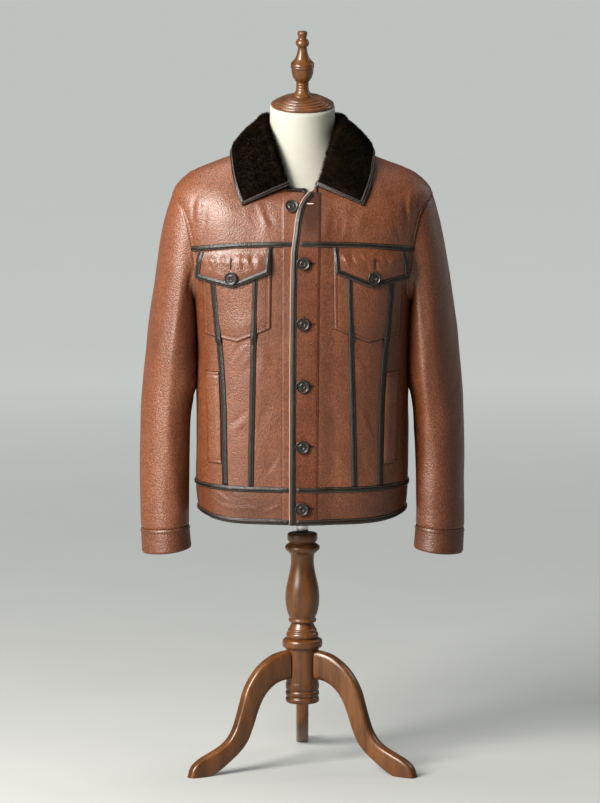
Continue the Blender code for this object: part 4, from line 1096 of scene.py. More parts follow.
def make_pocket(word, side):
    def top(distance):
        return np.full(np.shape(distance), POCKET_TOP)

    x, z = outline(POCKET_SIDES, POCKET_LOW, top, shares(0.12, 0.0030), shares(0.14, 0.0034), side)
    near = edge_distance(np.stack([x, 0 * x, z], -1))
    puff = 0.0012 * ease(0.004, 0.030, near)
    height = POCKET * (0.50 + 0.50 * ease(0.0, 0.0036, near)) + puff + 0.0002 * bell(near, 0.0016, 0.0022)
    height = height - 0.0009 * bell(near, POCKET_SEWN, 0.0011)

    def base(a, b):
        return SEAT + upper_lap(a, side)

    outer, up = patch(f"pocket_{word}", x, z, base, height, POCKET_LEATHER)
    rim_x = np.concatenate([x[:0:-1, 0] - side * 0.0003, x[0], x[1:, -1] + side * 0.0003])
    rim_z = np.concatenate([z[:0:-1, 0], z[0] - 0.0004, z[1:, -1]])
    # painted shade: a wide dark line round the pocket's sides and point, where its raised edge shades the
    # front, over the joint itself
    seam_and_shade_line(*on_body(rim_x, rim_z, base(rim_x, rim_z) + 0.0002), half=0.0010)
    row = int(np.argmin(np.abs(near[:, x.shape[1] // 2][:20] - POCKET_SEWN)))
    column = int(np.argmin(np.abs(near[x.shape[0] // 2][:20] - POCKET_SEWN)))
    sew("tan", *(
        np.concatenate([held[:row:-1, column], held[row, column:-column], held[row:, -column - 1]])
        for held in (outer, up)
    ))


def make_flap(word, side):
    def over_pocket(a, b):
        full = POCKET + STRIP + 3 * SEAT + 0.0012
        return SEAT + (full - SEAT) * (1 - ease(0.936, 0.962, b)) + upper_lap(a, side)

    def on_flap(a, b):
        return over_pocket(a, b) + FLAP + SEAT - 0.0004

    def top(distance):
        return straight(FLAP_HIGH, distance)

    x, z = outline(FLAP_SIDES, FLAP_LOW, top, shares(0.13, 0.0026), shares(0.055, 0.0024), side)
    near = edge_distance(np.stack([x, 0 * x, z], -1))
    height = FLAP * (0.40 + 0.60 * ease(0.0, 0.0026, near)) + 0.0016 * ease(0.008, 0.020, near)
    height = height + 1.25 * creases(x, z, FLAP_FOLDS) * ease(0.006, 0.014, near)
    patch(f"flap_{word}", x, z, over_pocket, height, POCKET_LEATHER)
    counts = side_counts(FLAP_RIM, 0.0030)
    left, right = (divided(line, counts) * np.array([side, 1]) for line in (FLAP_RIM, FLAP_RIM_INSIDE))
    strip(f"flap_trim_{word}", left, right, on_flap, TRIM + 0.0004)


def make_strips():
    for word, side in (("left", -1), ("right", 1)):

        def base(a, b, side=side):
            return SEAT + pocket_rise(b, np.abs(a)) + upper_lap(a, side)

        def on_yoke(a, b, side=side):
            return SEAT + lap(a * side) * (side > 0)

        for kind, table, top in (("inner", SEAM_IN, 0.9300), ("outer", SEAM_OUT, 0.9280)):
            z = np.linspace(0.5343, top, 110)
            middle = between(table, z)
            left = np.column_stack([side * (middle - STRIP_HALF), z])
            right = np.column_stack([side * (middle + STRIP_HALF), z])
            strip(f"strip_{kind}_{word}", left, right, base, STRIP)
        x = np.linspace(0.0180 if side < 0 else -0.0040, 0.1985, 80)
        seam = between(YOKE, np.abs(x))
        left = np.column_stack([side * x, seam - STRIP_HALF])
        right = np.column_stack([side * x, seam + STRIP_HALF])
        strip(f"yoke_strip_{word}", left, right, on_yoke, STRIP)
        make_welt(word, side)


WELT_LOW, WELT_LENGTH, WELT_WIDTH, WELT = 0.5720, 0.1660, 0.0240, 0.0024
WELT_BARS = (0.5782, 0.7318)  # heights of the two rows of stitches across a welt


def make_welt(word, side):
    rows, across = shares(0.166, 0.0026), shares(0.024, 0.0022)
    z = (WELT_LOW + WELT_LENGTH * rows)[:, None] + 0 * across[None, :]
    x = side * (between(SEAM_OUT, z) + STRIP_HALF + 0.0006 + WELT_WIDTH * across[None, :])
    near = edge_distance(np.stack([x, 0 * x, z], -1))
    height = WELT * (0.5 + 0.5 * ease(0.0, 0.0020, near)) + 0.0010 * ease(0.002, 0.006, near)
    for bar in WELT_BARS:
        height = height - 0.0022 * bell(z, bar, 0.0013)
    patch(f"welt_{word}", x, z, lambda a, b: SEAT + 0 * a, height, LEATHER)
    sides = (x[:, -1] + side * 0.0004, z[:, -1]), (x[0], z[0] - 0.0004), (x[-1], z[-1] + 0.0004)
    for rim_x, rim_z in sides:
        seam_and_shade_line(*on_body(rim_x, rim_z, np.full(len(rim_x), SEAT)))
    for bar in WELT_BARS:
        line = side * (between(SEAM_OUT, bar) + STRIP_HALF + np.linspace(0.003, 0.022, 8))
        sew("tan", *on_body(line, np.full(8, bar), 0.0022))


def make_front_binding():
    z = np.concatenate([np.linspace(0.4650, 1.00, 130), np.linspace(1.004, 1.0605, 34)])
    x = between(EDGE, z) - 0.0003
    path = np.column_stack([x, z])
    along = unit(np.gradient(path, axis=0))
    low = np.maximum(z - along[:, 0] * BINDING_WIDTH, z[0])
    inside = np.column_stack([x + along[:, 1] * BINDING_WIDTH, low])
    strip("front_edge_binding", path, inside, lambda a, b: SEAT + lap(a), BINDING + 0.0004)
    # The raw edge of the skin shows as a pale line beside the binding.
    rim = path + np.column_stack([-along[:, 1], along[:, 0]]) * 0.0010
    x, z = (np.column_stack([path[:, k], rim[:, k]]) for k in range(2))
    outer, _ = on_body(x, z, LAP + 0.0006 + 0 * x)
    inner, _ = on_body(x, z, 0.0006 + 0 * x)
    shell("closing_edge", outer, inner, [PALE_EDGE], added=True)


def round_strip(name, low, high, thick):
    """A strip round the hem from the under front over the back to the closing edge."""
    start, end = float(angle_at(-0.0233, low)), -360 + float(angle_at(-0.0105, low))
    angle = start + (end - start) * np.linspace(0, 1, 420)
    level = low + (high - low) * ROUND_STRIP_ACROSS
    angle, level = np.meshgrid(angle, level, indexing="ij")
    base, up = body(angle, level), normal(angle, level)
    lift = SEAT + relief(base) + np.where(angle < -270, lap(base[..., 0]), 0.0)
    outer = base + up * (lift + thick * strip_section(ROUND_STRIP_ACROSS))[..., None]
    inner = base + up * (lift - 0.0002)[..., None]
    finish_strip(name, outer, inner, up)


def lens(name, x, z, half, width, direction, out, material):
    """A slim raised slot, pointed at both ends, lying on the front."""
    along = np.linspace(-1, 1, 25)[:, None]
    across = np.linspace(-1, 1, 7)[None, :]
    a = half * along
    b = width * np.sqrt(np.maximum(1 - along**2, 0.02)) * across
    u, v = (a, b) if direction == "x" else (b, a)
    x, z = x + u + 0 * v, z + v + 0 * u
    outer, _ = on_body(x, z, out + 0.0005 * (1 - across**2) * np.sqrt(np.maximum(1 - along**2, 0)))
    inner, _ = on_body(x, z, out - 0.0010 + 0 * x)
    shell(name, outer, inner, [material], added=True)


def sewn_round(x, z, half, width, direction, out, reach=0.0013):
    """Close stitches across the rim of a buttonhole."""
    for turn in np.arange(0, 2 * math.pi, 2 * math.pi / 30):
        a, b = half * math.cos(turn), width * math.sin(turn)
        c, d = (half + reach) * math.cos(turn), (width + reach) * math.sin(turn)
        if direction != "x":
            a, b, c, d = b, a, d, c
        points, ups = on_body(np.array([x + a, x + c]), np.array([z + b, z + d]), np.full(2, out))
        middle, up = points.mean(axis=0), ups[0]
        span = points[1] - points[0]
        line = np.array([middle - span, middle, middle + span])
        sew("tan", line, np.array([up] * 3), 0.0002, np.linalg.norm(span) * 0.9, 0.0018, 0.0003)


# ---------------------------------------------------------------- collar

COLLAR = np.array([
    (0, 180, 0, 650, 11865, 0, 10850, 60, 80), (1, 150, 350, 575, 11865, 680, 10900, 60, 75),
    (2, 120, 610, 335, 11860, 1120, 11030, 60, 60), (3, 90, 715, -40, 11840, 1250, 11185, 60, 40),
    (4, 65, 680, -340, 11710, 1257, 11030, 60, 40), (5, 42, 570, -620, 11450, 1235, 10830, 60, 40),
    (6, 25, 432, -805, 11060, 1175, 10600, 52, 35), (7, 13.5, 268, -880, 10722, 1078, 10378, 34, 20),
]) / ([1] * 2 + [1e4] * 7)
COLLAR_END = 7.0
COLLAR_TRIM = 0.23
FUR_THICK = 0.0090


def stand_ring(angle, height):
    lean = height / 0.012
    shrink = np.array([1 - 0.065 * lean, 1 - 0.045 * lean, 1])
    return body(angle, NECK) * shrink + np.array([0, 0, height])


def stand_height(angle):
    return 0.0045 + 0.0075 * float(ease(14, 60, abs(angle)))


def full_pile(station):
    """Share of the pile's thickness that is left towards the flattened front ends."""
    return 1 - 0.34 * ease(5.2, COLLAR_END, np.abs(station))


def plain_on_body(x, z, out, back=False):
    angle, level = spot(x, z, back)
    return body(angle, level) + normal(angle, level) * out


def collar_line(station):
    """One section of the collar's middle surface from the stand over the roll to the outer edge."""
    neck, rx, ry, rz, ex, ez, radius, bulge = between(COLLAR, station)
    ahead, behind = between(COLLAR, min(station + 0.1, COLLAR_END)), between(COLLAR, max(station - 0.1, 0.0))
    along = unit(ahead[1:4] - behind[1:4])
    if station < 0.05:
        along = np.array([1.0, 0.0, 0.0])
    up = unit(np.array([0, 0, 1.0]) - along * along[2])
    out = np.cross(along, up)
    if np.dot(out, (rx, ry + 0.01, 0)) < 0:
        out = -out
    roll = np.array([rx, ry, rz])
    foot = stand_ring(neck, stand_height(neck) + 0.0030)
    back = 1 - float(ease(3.0, 3.6, station))
    clear = SEAT + FUR_THICK / 2 * float(full_pile(station))
    clear += 0.0060 * float(ease(2.0, 3.1, station) * (1 - ease(3.5, 4.6, station)))
    edge_front = plain_on_body(ex, ez, clear) if back < 1 else 0.0
    edge_back = plain_on_body(ex, min(ez, 1.1185), clear, back=True) if back > 0 else 0.0
    edge = edge_front * (1 - back) + edge_back * back
    line = [foot, foot * 0.5 + (roll - out * radius) * 0.5]
    for turn in (0, 45, 90, 135, 180):
        line.append(roll - out * radius * math.cos(turn * DEG) + up * radius * math.sin(turn * DEG))
    start = line[-1]
    chord = edge - start
    swell = unit(up - unit(chord) * np.dot(up, unit(chord)))
    for share in (0.16, 0.36, 0.58, 0.80, 1.0):
        line.append(start + chord * share + swell * bulge * math.sin(math.pi * share))
    return np.array(line)


def collar_sheet(stations, count, cut=0.0):
    """Grid of middle points; cut shortens every section at its outer edge by that length."""
    rows = []
    for station in stations:
        line = resampled(collar_line(abs(station)), 240)
        lengths = steps_of(line)
        line = taken(line, lengths, np.linspace(0, lengths[-1] - cut, count))
        rows.append(line * np.array([1 if station >= 0 else -1, 1, 1]))
    return np.array(rows)


def smoothed(rows, times=14):
    for _ in range(times):
        inner = 0.5 * rows[1:-1] + 0.25 * (rows[:-2] + rows[2:])
        rows = np.concatenate([rows[:1], inner, rows[-1:]])
    return rows


COLLAR_ROWS = 64
COLLAR_SIDE = 3  # stations between a front end and the inner line of its binding
COLLAR_FIRST = 5  # the row where the binding of a front end starts


def collar_normals(rows):
    up = grid_normals(rows)
    return -up if up[len(rows) // 2, -10, 1] < 0 else up


def make_collar_binding(every, full, short):
    """The rolled edge that frames the front ends and the outer edge."""
    up, side = collar_normals(full), COLLAR_SIDE
    path = []
    for c in range(COLLAR_FIRST, COLLAR_ROWS - 1):
        path.append((full[0, c], full[side, c], up[0, c], COLLAR_END))
    path.append((full[0, -1], short[side, -1], up[0, -1], COLLAR_END))
    for r in range(side + 1, len(full) - side - 1):
        path.append((full[r, -1], short[r, -1], up[r, -1], every[r]))
    path.append((full[-1, -1], short[-1 - side, -1], up[-1, -1], COLLAR_END))
    for c in range(COLLAR_ROWS - 2, COLLAR_FIRST - 1, -1):
        path.append((full[-1, c], full[-1 - side, c], up[-1, c], COLLAR_END))
    turns = circle(20)
    across, upward = rounded_box(20, 3.0, 2.4)
    rings = []
    for edge, inside, lift, station in path:
        centre, reach = (edge + inside) / 2, (edge - inside) / 2
        rings.append(centre + reach * across[:, None] + lift * upward[:, None] * 0.0040 * full_pile(station))
    rings = np.array(rings)
    binding = tube("collar_binding", rings, TRIM_LEATHER)
    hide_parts("collar_binding")
    ups = np.array([lift for _, _, lift, _ in path])
    for share in (0.30, 0.62):
        sew("dark", rings[:, int(np.argmin(np.abs(turns / math.pi - share)))], ups, 0.0001)
    return binding


def make_collar():
    last = COLLAR_END - COLLAR_TRIM
    half = np.linspace(0, last, 76)
    stations = np.concatenate([-half[:0:-1], half])
    ends = np.linspace(last, COLLAR_END, 4)
    every = np.concatenate([-ends[::-1], stations[1:-1], ends])
    full = smoothed(collar_sheet(every, COLLAR_ROWS))
    short = smoothed(collar_sheet(every, COLLAR_ROWS, cut=0.0082))
    skin = smoothed(collar_sheet(stations, COLLAR_ROWS, cut=0.0092))
    up = collar_normals(skin)
    along = np.linspace(0, 1, COLLAR_ROWS)
    thick = FUR_THICK / 2 * full_pile(stations)[:, None] * (0.55 + 0.45 * ease(0.0, 0.12, along))[None, :]
    outer = skin + up * (thick - 0.0022 + unevenness(skin) * 0.7)[..., None]
    inner = skin - up * (thick - 0.0010)[..., None]
    leaf = shell("collar", outer, inner, [FUR, LEATHER])
    binding = make_collar_binding(every, full, short)
    strands = make_fur(outer, up)
    declare(outer)


def make_collar_stand():
    start, end = float(angle_at(0.0050, NECK)), float(angle_at(0.0225, NECK))
    high, low = [], []
    for angle in start + (end - 360 - start) * np.linspace(0, 1, 150):
        angle = (angle + 180) % 360 - 180
        top, under = [], []
        for share in np.linspace(0, 1, 9):
            height = 0.0004 + (stand_height(angle) - 0.0004) * share
            point = stand_ring(angle, height)
            away = unit(point * np.array([1, 1, 0]) - np.array([0, -0.009, 0]))
            rounded = 0.0010 * float(1 - ease(0.0, 0.25, min(share, 1 - share)))
            top.append(point - away * rounded)
            under.append(point - away * 0.0030)
        high.append(top)
        low.append(under)
    high, low = np.array(high), np.array(low)
    made = shell("collar_stand", high, low, [TRIM_LEATHER, WOOL])
    declare(high)
    sew("dark", high[:, 6], unit(high - low)[:, 6])


# x and z along the under front's neckline and down beside the closing edge
NECK_PATH = np.array([
    (-310, 10640), (-240, 10640), (-120, 10640), (0, 10640), (30, 10632), (46, 10612), (50, 10580),
    (52, 10530), (58, 10480),
]) / 1e4


def rolled(name, points, aside, ups, wide, high):
    """A thin roll of dark leather along a line of points."""
    turns = circle(16)[:, None]
    rings = [p + a * wide * np.cos(turns) + u * high * np.sin(turns) for p, a, u in zip(points, aside, ups)]
    tube(name, np.array(rings), TRIM_LEATHER)


def make_neck_binding():
    """The rolled edge of the under front's neckline, and the small tab end at the other front."""
    path = divided(NECK_PATH, side_counts(NECK_PATH, 0.0012))
    points, ups = on_body(path[:, 0], path[:, 1], np.full(len(path), 0.0008))
    aside = unit(np.cross(ups, unit(np.gradient(points, axis=0))))
    rolled("neck_binding", points, aside, ups, 0.0024, 0.0019)
    points, ups = on_body(np.full(12, 0.0262), np.linspace(1.0560, 1.0690, 12), np.full(12, LAP + 0.0006))
    aside = np.cross(ups, unit(np.gradient(points, axis=0)))
    rolled("neck_tab", points, aside, ups, 0.0019, 0.0012)


def tube(name, rings, material):
    """A closed solid through rings of points."""
    faces = tube_faces(*rings.shape[:2])
    points = rings.reshape(-1, 3)
    volume = 0.0
    for face in faces:
        for k in range(1, len(face) - 1):
            volume += np.dot(points[face[0]], np.cross(points[face[k]], points[face[k + 1]]))
    if volume < 0:
        faces = [face[::-1] for face in faces]
    made = piece(name, points, faces, [material])
    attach(made, "root")
    return made


FUR_COUNT = 33000
# share of a strand's length, half its width there
STRAND = (0.0, 0.00036), (0.45, 0.00030), (0.80, 0.00018)


def make_fur(outer, up):
    """Strands of pile over the collar's upper face, leaning towards its outer edge."""
    chance = np.random.default_rng(5)
    a = outer[:-1, :-1]
    cell = np.linalg.norm(np.cross(outer[1:, :-1] - a, outer[:-1, 1:] - a), axis=-1)
    weight = (cell / cell.sum()).ravel()
    chosen = chance.choice(len(weight), FUR_COUNT, p=weight)
    r, c = np.unravel_index(chosen, cell.shape)
    s, t = chance.random(FUR_COUNT)[:, None], chance.random(FUR_COUNT)[:, None]

    def mixed(values):
        low = values[r, c] * (1 - t) + values[r, c + 1] * t
        high = values[r + 1, c] * (1 - t) + values[r + 1, c + 1] * t
        return low * (1 - s) + high * s

    root, lift = mixed(outer), unit(mixed(up))
    down = unit(mixed(np.gradient(outer, axis=1)))
    reach = ease(0.0, 0.008, mixed(edge_distance(outer)[..., None]))
    loose = chance.normal(size=(FUR_COUNT, 3)) * 0.22
    x, y, z = root[:, 0], root[:, 1], root[:, 2]
    clump = np.stack([np.sin(x * 410 + 3 * np.sin(z * 300)), np.cos(y * 380), np.sin(z * 430)], -1)
    way = unit(lift * 1.0 + down * 0.42 + loose + clump * 0.16)
    length = (0.0046 + 0.0020 * chance.random((FUR_COUNT, 1))) * (0.45 + 0.55 * reach)
    bend = (down * 0.30 + np.array([0, 0, -0.22]) + chance.normal(size=(FUR_COUNT, 3)) * 0.12) * length
    aside = unit(np.cross(way, chance.normal(size=(FUR_COUNT, 3))))
    rings = []
    for share, wide in STRAND:
        centre = root - lift * 0.0004 + way * length * share + bend * share**2
        rings.append(centre - aside * wide)
        rings.append(centre + aside * wide)
    tip = root - lift * 0.0004 + way * length + bend
    points = np.stack(rings + [tip], axis=1).reshape(-1, 3)
    pattern = [(0, 1, 3), (0, 3, 2), (2, 3, 5), (2, 5, 4), (4, 5, 6)]
    made = piece("collar_fur", points, repeated(pattern, 7, FUR_COUNT), [FUR])
    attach(made, "root")
    return made


# ---------------------------------------------------------------- buttons

# name, x, z, height of the back above the front's plain leather
BUTTONS = [
    ("button_neck", -0.0194, 1.0367, SEAT + 0.0014),
    ("button_front_1", 0.0011, 0.9377, LAP + SEAT + 0.0026),
    ("button_front_2", 0.0008, 0.8296, LAP + SEAT + 0.0018),
    ("button_front_3", 0.0004, 0.7180, LAP + SEAT + 0.0018),
    ("button_front_4", -0.0004, 0.6079, LAP + SEAT + 0.0018),
    ("button_front_5", -0.0010, 0.4955, LAP + SEAT + 0.0018),
    ("button_flap_left", -0.1236, 0.9110, POCKET + STRIP + FLAP + TRIM + 5 * SEAT + 0.0008),
    ("button_flap_right", 0.1236, 0.9110, POCKET + STRIP + FLAP + TRIM + 5 * SEAT + 0.0008),
]
# radius, height above the button's back
BUTTON = np.array([
    (86, 0), (104, 4), (116, 14), (121, 27), (120, 37), (115, 43), (108, 44), (102, 40), (97, 33), (92, 29),
    (80, 28), (66, 28), (54, 28), (48, 31), (44, 36), (40, 36), (37, 31), (34, 28), (30, 27), (26, 27),
    (20, 27), (14, 27), (8, 27),
]) / 1e4
DISH_ROW = 17  # the rows after this one are the dished middle with its four holes
HOLE_AWAY = 0.0019


def lathed(profile, steps):
    """Rings of a turned piece about its z axis."""
    return np.array([[(r * math.cos(t), r * math.sin(t), h) for t in circle(steps)] for r, h in profile])


def make_buttons():
    rings = lathed(BUTTON, 64)
    for hole in range(4):
        angle = (hole + 0.5) * math.pi / 2
        centre = HOLE_AWAY * np.array([math.cos(angle), math.sin(angle)])
        away = np.linalg.norm(rings[..., :2] - centre, axis=-1)
        top = (np.arange(len(rings)) > DISH_ROW)[:, None]
        rings[..., 2] -= 0.0018 * (1 - ease(0.0006, 0.00095, away)) * top
    faces = tube_faces(*rings.shape[:2])
    for name, x, z, base in BUTTONS:
        place, up = on_body(np.array([x]), np.array([z]), np.array([base]))
        made = piece(name, rings.reshape(-1, 3), faces, [HORN], moved=False)
        made.location = place[0] + SHIFT
        made.rotation_euler = Vector(up[0]).to_track_quat("Z", "Y").to_euler()
        made.rotation_euler.rotate_axis("Z", 0.7 * math.sin(z * 90))
        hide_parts(name)
        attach(made, "root")
        # thread through the four holes
        side = np.cross(up[0], (0.0, 0.0, 1.0))
        rise = np.cross(side, up[0])
        for tilt in (1, -1):
            way = (side + rise * tilt) * HOLE_AWAY / math.sqrt(2)
            line = np.array([place[0] - way, place[0], place[0] + way]) + up[0] * 0.0026
            sew("dark", line, np.array([up[0]] * 3), 0.0001, 0.0040, 0.0050, 0.00035)
            sew("dark", line + up[0] * 0.0001, np.array([up[0]] * 3), 0.0001, 0.0020, 0.0030, 0.00035)


def make_buttonholes():
    for name, x, z, _ in BUTTONS[1:6]:
        lens(f"hole_{name}", x + 0.0120, z, 0.0085, 0.0007, "x", LAP + PLACKET + 0.0007, DARK_SLIT)
        sewn_round(x + 0.0120, z, 0.0085, 0.0009, "x", LAP + PLACKET + 0.0005)
    lens("hole_button_neck", 0.0136, 1.0406, 0.0072, 0.0011, "x", LAP + PLACKET + 0.0008, PALE_EDGE)
    sewn_round(0.0136, 1.0406, 0.0072, 0.0013, "x", LAP + PLACKET + 0.0004)
    for word, side in (("left", -1), ("right", 1)):
        out = POCKET + STRIP + 4 * SEAT + FLAP + 0.0026
        lens(f"hole_button_flap_{word}", side * 0.1250, 0.9370, 0.0092, 0.0010, "z", out, DARK_SLIT)
        sewn_round(side * 0.1250, 0.9370, 0.0092, 0.0011, "z", out - 0.0003)


# ---------------------------------------------------------------- form and stand

FORM_LEVELS = [0.505, 0.512, 0.6, 0.7, 0.8, 0.88, 0.93, 0.972, 1.0, 1.02, 1.034, 1.045, 1.053, 1.059, 1.0635]
FORM_STEPS = 96  # points round the form
NECK_Y = -0.0100
NECK_RADIUS = 0.0582
CAP_TILT = 10.0
CAP_LEVEL = 1.2109


def make_form():
    """The padded torso and its round neck up to the sloping cap."""
    angle = 360 * np.arange(FORM_STEPS) / FORM_STEPS
    angle = np.where(angle > 180, angle - 360, angle)
    controls = []
    for level in FORM_LEVELS:
        room = 0.0090 - 0.0060 * ease(0.88, 1.0, level)
        room += 0.0140 * (1 - ease(FORM_LEVELS[0], FORM_LEVELS[1], level))
        room += 0.0022 * ease(0.95, 1.0, level) * (1 - ease(1.034, 1.050, level))
        room += 0.0010 * ease(1.05, 1.06, level)
        controls.append(body(angle, level) - normal(angle, np.full(FORM_STEPS, level)) * (WALL + room))
    round_neck = np.stack([np.sin(angle * DEG), -np.cos(angle * DEG), 0 * angle], -1) * NECK_RADIUS
    round_neck = round_neck + np.array([0, NECK_Y, 0])
    for inward, level_share, height in ((0.45, 0.0, 0.0090), (0.72, 0.40, 1.1750), (0.94, 0.75, 1.1800)):
        loop = body(angle, NECK)
        point = loop * (1 - inward) + round_neck * inward
        rise = loop[:, 2] + height if level_share == 0 else loop[:, 2]
        point[:, 2] = rise * (1 - level_share) + height * level_share
        controls.append(point)
    top = round_neck.copy()
    top[:, 2] = CAP_LEVEL - 0.0004 + (round_neck[:, 1] - NECK_Y) * math.tan(CAP_TILT * DEG)
    controls.append(top)
    controls = np.array(controls)
    place = np.arange(len(controls), dtype=float)
    table = np.column_stack([place, controls.reshape(len(controls), -1)])
    fine = np.unique(np.concatenate([np.linspace(0, 1, 4), np.linspace(1, len(controls) - 1, 120)]))
    rings = between(table, fine).reshape(len(fine), FORM_STEPS, 3)
    made = tube("form_torso", rings, CLOTH)
    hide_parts("form_torso")


# radius, height above the cap's underside
CAP = np.array([
    (545, 0), (566, 16), (568, 42), (556, 60), (528, 68), (510, 70), (508, 88), (492, 100), (456, 108),
    (440, 110), (438, 126), (422, 136), (384, 144), (368, 146), (366, 160), (352, 168), (300, 178),
    (225, 194),
]) / 1e4
FINIAL = np.array([
    (186, 0), (184, 14), (154, 36), (129, 70), (115, 100), (119, 126), (106, 146), (108, 152), (118, 171),
    (106, 190), (108, 196), (117, 216), (108, 238), (117, 257), (137, 285), (163, 323), (184, 369),
    (197, 430), (201, 490), (200, 506), (208, 512), (214, 530), (208, 546), (210, 556), (215, 574),
    (206, 598), (190, 618), (164, 642), (134, 678), (112, 725), (96, 781), (85, 837), (79, 886), (90, 902),
    (110, 924), (121, 952), (121, 976), (112, 1002), (92, 1030), (76, 1046), (75, 1080), (79, 1100),
    (88, 1120), (89, 1150), (86, 1168), (74, 1175),
]) / 1e4
COLUMN = np.array([
    (285, 1169), (303, 1182), (309, 1215), (305, 1255), (284, 1272), (286, 1284), (304, 1300), (309, 1340),
    (304, 1376), (284, 1392), (286, 1402), (303, 1416), (309, 1466), (304, 1522), (296, 1552), (296, 1570),
    (296, 2184), (330, 2188), (354, 2200), (367, 2234), (368, 2290), (358, 2330), (334, 2350), (276, 2360),
    (278, 2372), (292, 2388), (298, 2420), (290, 2456), (266, 2478), (266, 2500), (264, 2528), (244, 2540),
    (234, 2570), (212, 2616), (200, 2640), (202, 2652), (240, 2662), (254, 2680), (256, 2704), (246, 2724),
    (232, 2732), (240, 2752), (268, 2815), (290, 2895), (308, 3000), (313, 3090), (309, 3200), (294, 3320),
    (262, 3460), (236, 3580), (216, 3690), (208, 3780), (210, 3870), (222, 3922), (262, 3964), (302, 3994),
    (321, 4034), (310, 4074), (262, 4108), (230, 4132), (232, 4146), (262, 4160), (274, 4186), (275, 4270),
    (262, 4306), (200, 4318),
]) / 1e4
# distance from the axis, height: the outer and the inner edge of a leg, from the column to the foot
LEG_OUTER = np.array([
    (300, 2150), (400, 2148), (608, 2101), (803, 1999), (958, 1877), (1113, 1687), (1228, 1476),
    (1306, 1226), (1384, 979), (1461, 781), (1578, 615), (1732, 500), (1963, 395), (2172, 300), (2316, 180),
    (2383, 0),
]) / 1e4
LEG_INNER = np.array([
    (300, 1620), (444, 1610), (608, 1552), (764, 1430), (882, 1271), (978, 1056), (1075, 791), (1192, 547),
    (1347, 374), (1539, 224), (1733, 89), (1920, 0),
]) / 1e4
LEG_HALF = 0.0115
# radius, height of the steel pole
POLE = np.array([(104, 4322), (108, 4328), (108, 5077)]) / 1e4
FINIAL_SEAT = 0.0196


def softened(profile):
    """A profile with its corners cut, its two ends kept."""
    line = np.asarray(profile, float)
    a, b = line[:-1], line[1:]
    cut = np.stack([a * 0.78 + b * 0.22, a * 0.22 + b * 0.78], 1).reshape(-1, 2)
    return np.concatenate([line[:1], cut, line[-1:]])


def turned(name, profile, material, steps=72, place=(0, 0, 0), tilt=0.0):
    """A lathe-turned piece about its own z axis, set down at a place and tilted back."""
    rings = lathed(softened(profile), steps)
    made = piece(name, rings.reshape(-1, 3), tube_faces(*rings.shape[:2]), [material], moved=False)
    made.data.set_sharp_from_angle(angle=62 * DEG)
    made.location = SHIFT + np.array(place)
    made.rotation_euler = (tilt, 0, 0)
    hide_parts(name)
    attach(made, "root")


def make_stand():
    turned("column", COLUMN, WOOD)
    turned("pole", POLE, STEEL, 48)
    tilt = CAP_TILT * DEG
    turned("neck_cap", CAP, WOOD, 96, (0, NECK_Y, CAP_LEVEL), tilt)
    seat = (0, NECK_Y - math.sin(tilt) * FINIAL_SEAT, CAP_LEVEL + math.cos(tilt) * FINIAL_SEAT)
    turned("finial", FINIAL, WOOD, place=seat, tilt=tilt)
    make_legs()


def make_legs():
    outer, inner = resampled(LEG_OUTER, 80), resampled(LEG_INNER, 80)
    outer[-1], inner[-1] = LEG_OUTER[-1], LEG_INNER[-1]
    across, thick = rounded_box(32, 5.0, 3.4)
    rings = []
    for a, b in zip(outer, inner):
        centre, reach = (a + b) / 2, (a - b) / 2
        flat = centre + reach * across[:, None]
        rings.append(np.column_stack([flat[:, 0], LEG_HALF * thick, flat[:, 1]]))
    rings = np.array(rings)
    faces = tube_faces(*rings.shape[:2], flipped=True)
    for name, heading in (("leg_left", 210), ("leg_right", -30), ("leg_rear", 90)):
        made = piece(name, rings.reshape(-1, 3), faces, [LEG_WOOD], moved=False)
        made.data.set_sharp_from_angle(angle=50 * DEG)
        made.location = SHIFT
        made.rotation_euler = (0, 0, heading * DEG)
        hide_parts(name)
        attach(made, "root")


# ---------------------------------------------------------------- stage

CAMERA_PITCH = 7.5 * DEG
CAMERA_DISTANCE = 8.0
CAMERA_TARGET = np.array([-0.0044, 0.0, 0.6726]) + SHIFT
FOCAL = CAMERA_DISTANCE / 0.00182 * 36 / 803


def area_light(name, place, target, size, power, colour):
    light = bpy.data.lights.new(name, "AREA")
    light.shape = "RECTANGLE"
    light.size, light.size_y = size
    light.energy = power
    light.color = colour
    made = bpy.data.objects.new(name, light)
    bpy.context.scene.collection.objects.link(made)
    made.location = place
    made.rotation_euler = (Vector(target) - Vector(place)).to_track_quat("-Z", "Y").to_euler()


FLOOR_REACH = 60.0
CHEST = (0.0, -0.05, 0.80)
# name, place, target, width and height in metres, power in watts, colour
LIGHTS = [
    ("key", (-2.05, -2.00, 2.15), CHEST, (1.5, 2.0), 225.0, (1.0, 0.975, 0.94)),
    ("rim", (1.9, 0.9, 1.9), CHEST, (0.7, 1.4), 8.0, (0.94, 0.97, 1.0)),
    ("top", (-0.3, 0.3, 2.9), (0, 0, 1.0), (1.2, 1.2), 20.0, (1.0, 0.98, 0.95)),
]


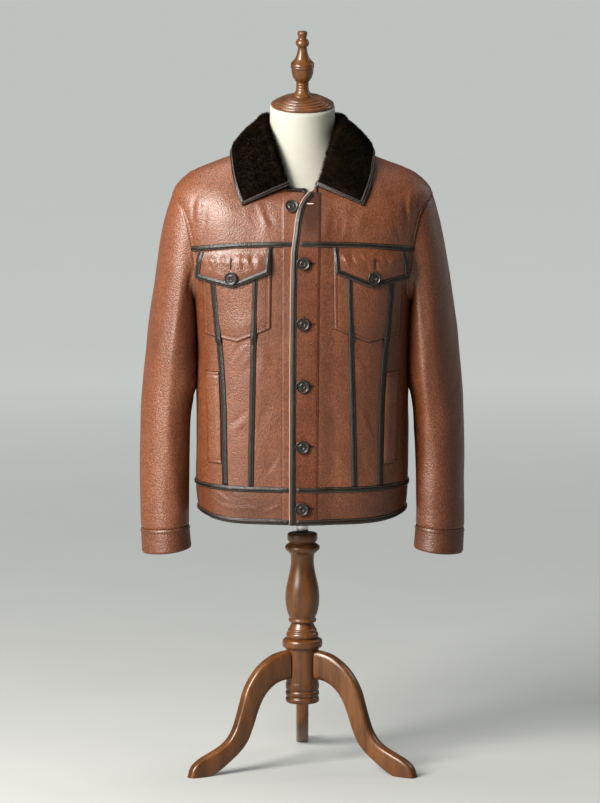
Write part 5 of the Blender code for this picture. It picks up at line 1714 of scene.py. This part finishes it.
def make_stage():
    mesh = bpy.data.meshes.new("floor")
    far = FLOOR_REACH
    mesh.from_pydata([(-far, -far, 0), (far, -far, 0), (far, far, 0), (-far, far, 0)], [], [(0, 1, 2, 3)])
    floor = bpy.data.objects.new("floor", mesh)
    ground = Shading("floor", (0.50, 0.50, 0.485), 0.9)
    patches = ground.spread(ground.noise(3.0), 0.0, 1.0)
    ground.paint(ground.mix(patches, (0.350, 0.354, 0.338), (0.335, 0.339, 0.324)))
    # Far from the part the floor glows a little, as under a row of lamps, so that it stays pale all round.
    away = ground.node("VectorMath", operation="LENGTH")
    ground.link(ground.place, away.inputs[0])
    glow = ground.span(away.outputs["Value"], 0.8, 5.5, 0.12, 0.42)
    ground.shader.inputs["Emission Color"].default_value = (0.96, 1.0, 0.97, 1.0)
    ground.link(glow, ground.shader.inputs["Emission Strength"])
    mesh.materials.append(ground.material)
    bpy.context.scene.collection.objects.link(floor)
    world = bpy.data.worlds.new("studio")
    world.use_nodes = True
    world.node_tree.nodes["Background"].inputs["Color"].default_value = (0.88, 0.92, 0.94, 1.0)
    world.node_tree.nodes["Background"].inputs["Strength"].default_value = 0.15
    bpy.context.scene.world = world
    for light in LIGHTS:
        area_light(*light)


def make_camera():
    camera = bpy.data.cameras.new("camera")
    camera.sensor_width = 36
    camera.lens = FOCAL
    camera.clip_end = 200
    made = bpy.data.objects.new("camera", camera)
    bpy.context.scene.collection.objects.link(made)
    back = np.array([0, -math.cos(CAMERA_PITCH), math.sin(CAMERA_PITCH)])
    made.location = CAMERA_TARGET + back * CAMERA_DISTANCE
    made.rotation_euler = Vector(-back).to_track_quat("-Z", "Y").to_euler()
    bpy.context.scene.camera = made
    bpy.context.scene.view_settings.view_transform = "Standard"
    bpy.context.scene.view_settings.look = "Medium High Contrast"


def main():
    make_form()
    make_stand()
    make_fronts()
    make_back()
    make_sleeves()
    make_strips()
    make_front_binding()
    round_strip("hem_top_strip", HEM_SEAM - 0.0050, HEM_SEAM + 0.0050, STRIP)
    round_strip("hem_edge_binding", HEM, HEM + 0.0105, BINDING)
    for word, side in (("left", -1), ("right", 1)):
        make_pocket(word, side)
        make_flap(word, side)
    make_plackets()
    make_collar()
    make_collar_stand()
    make_neck_binding()
    make_buttons()
    make_buttonholes()
    make_stitches()
    make_seam_and_shade_lines()
    make_stage()
    make_camera()


main()
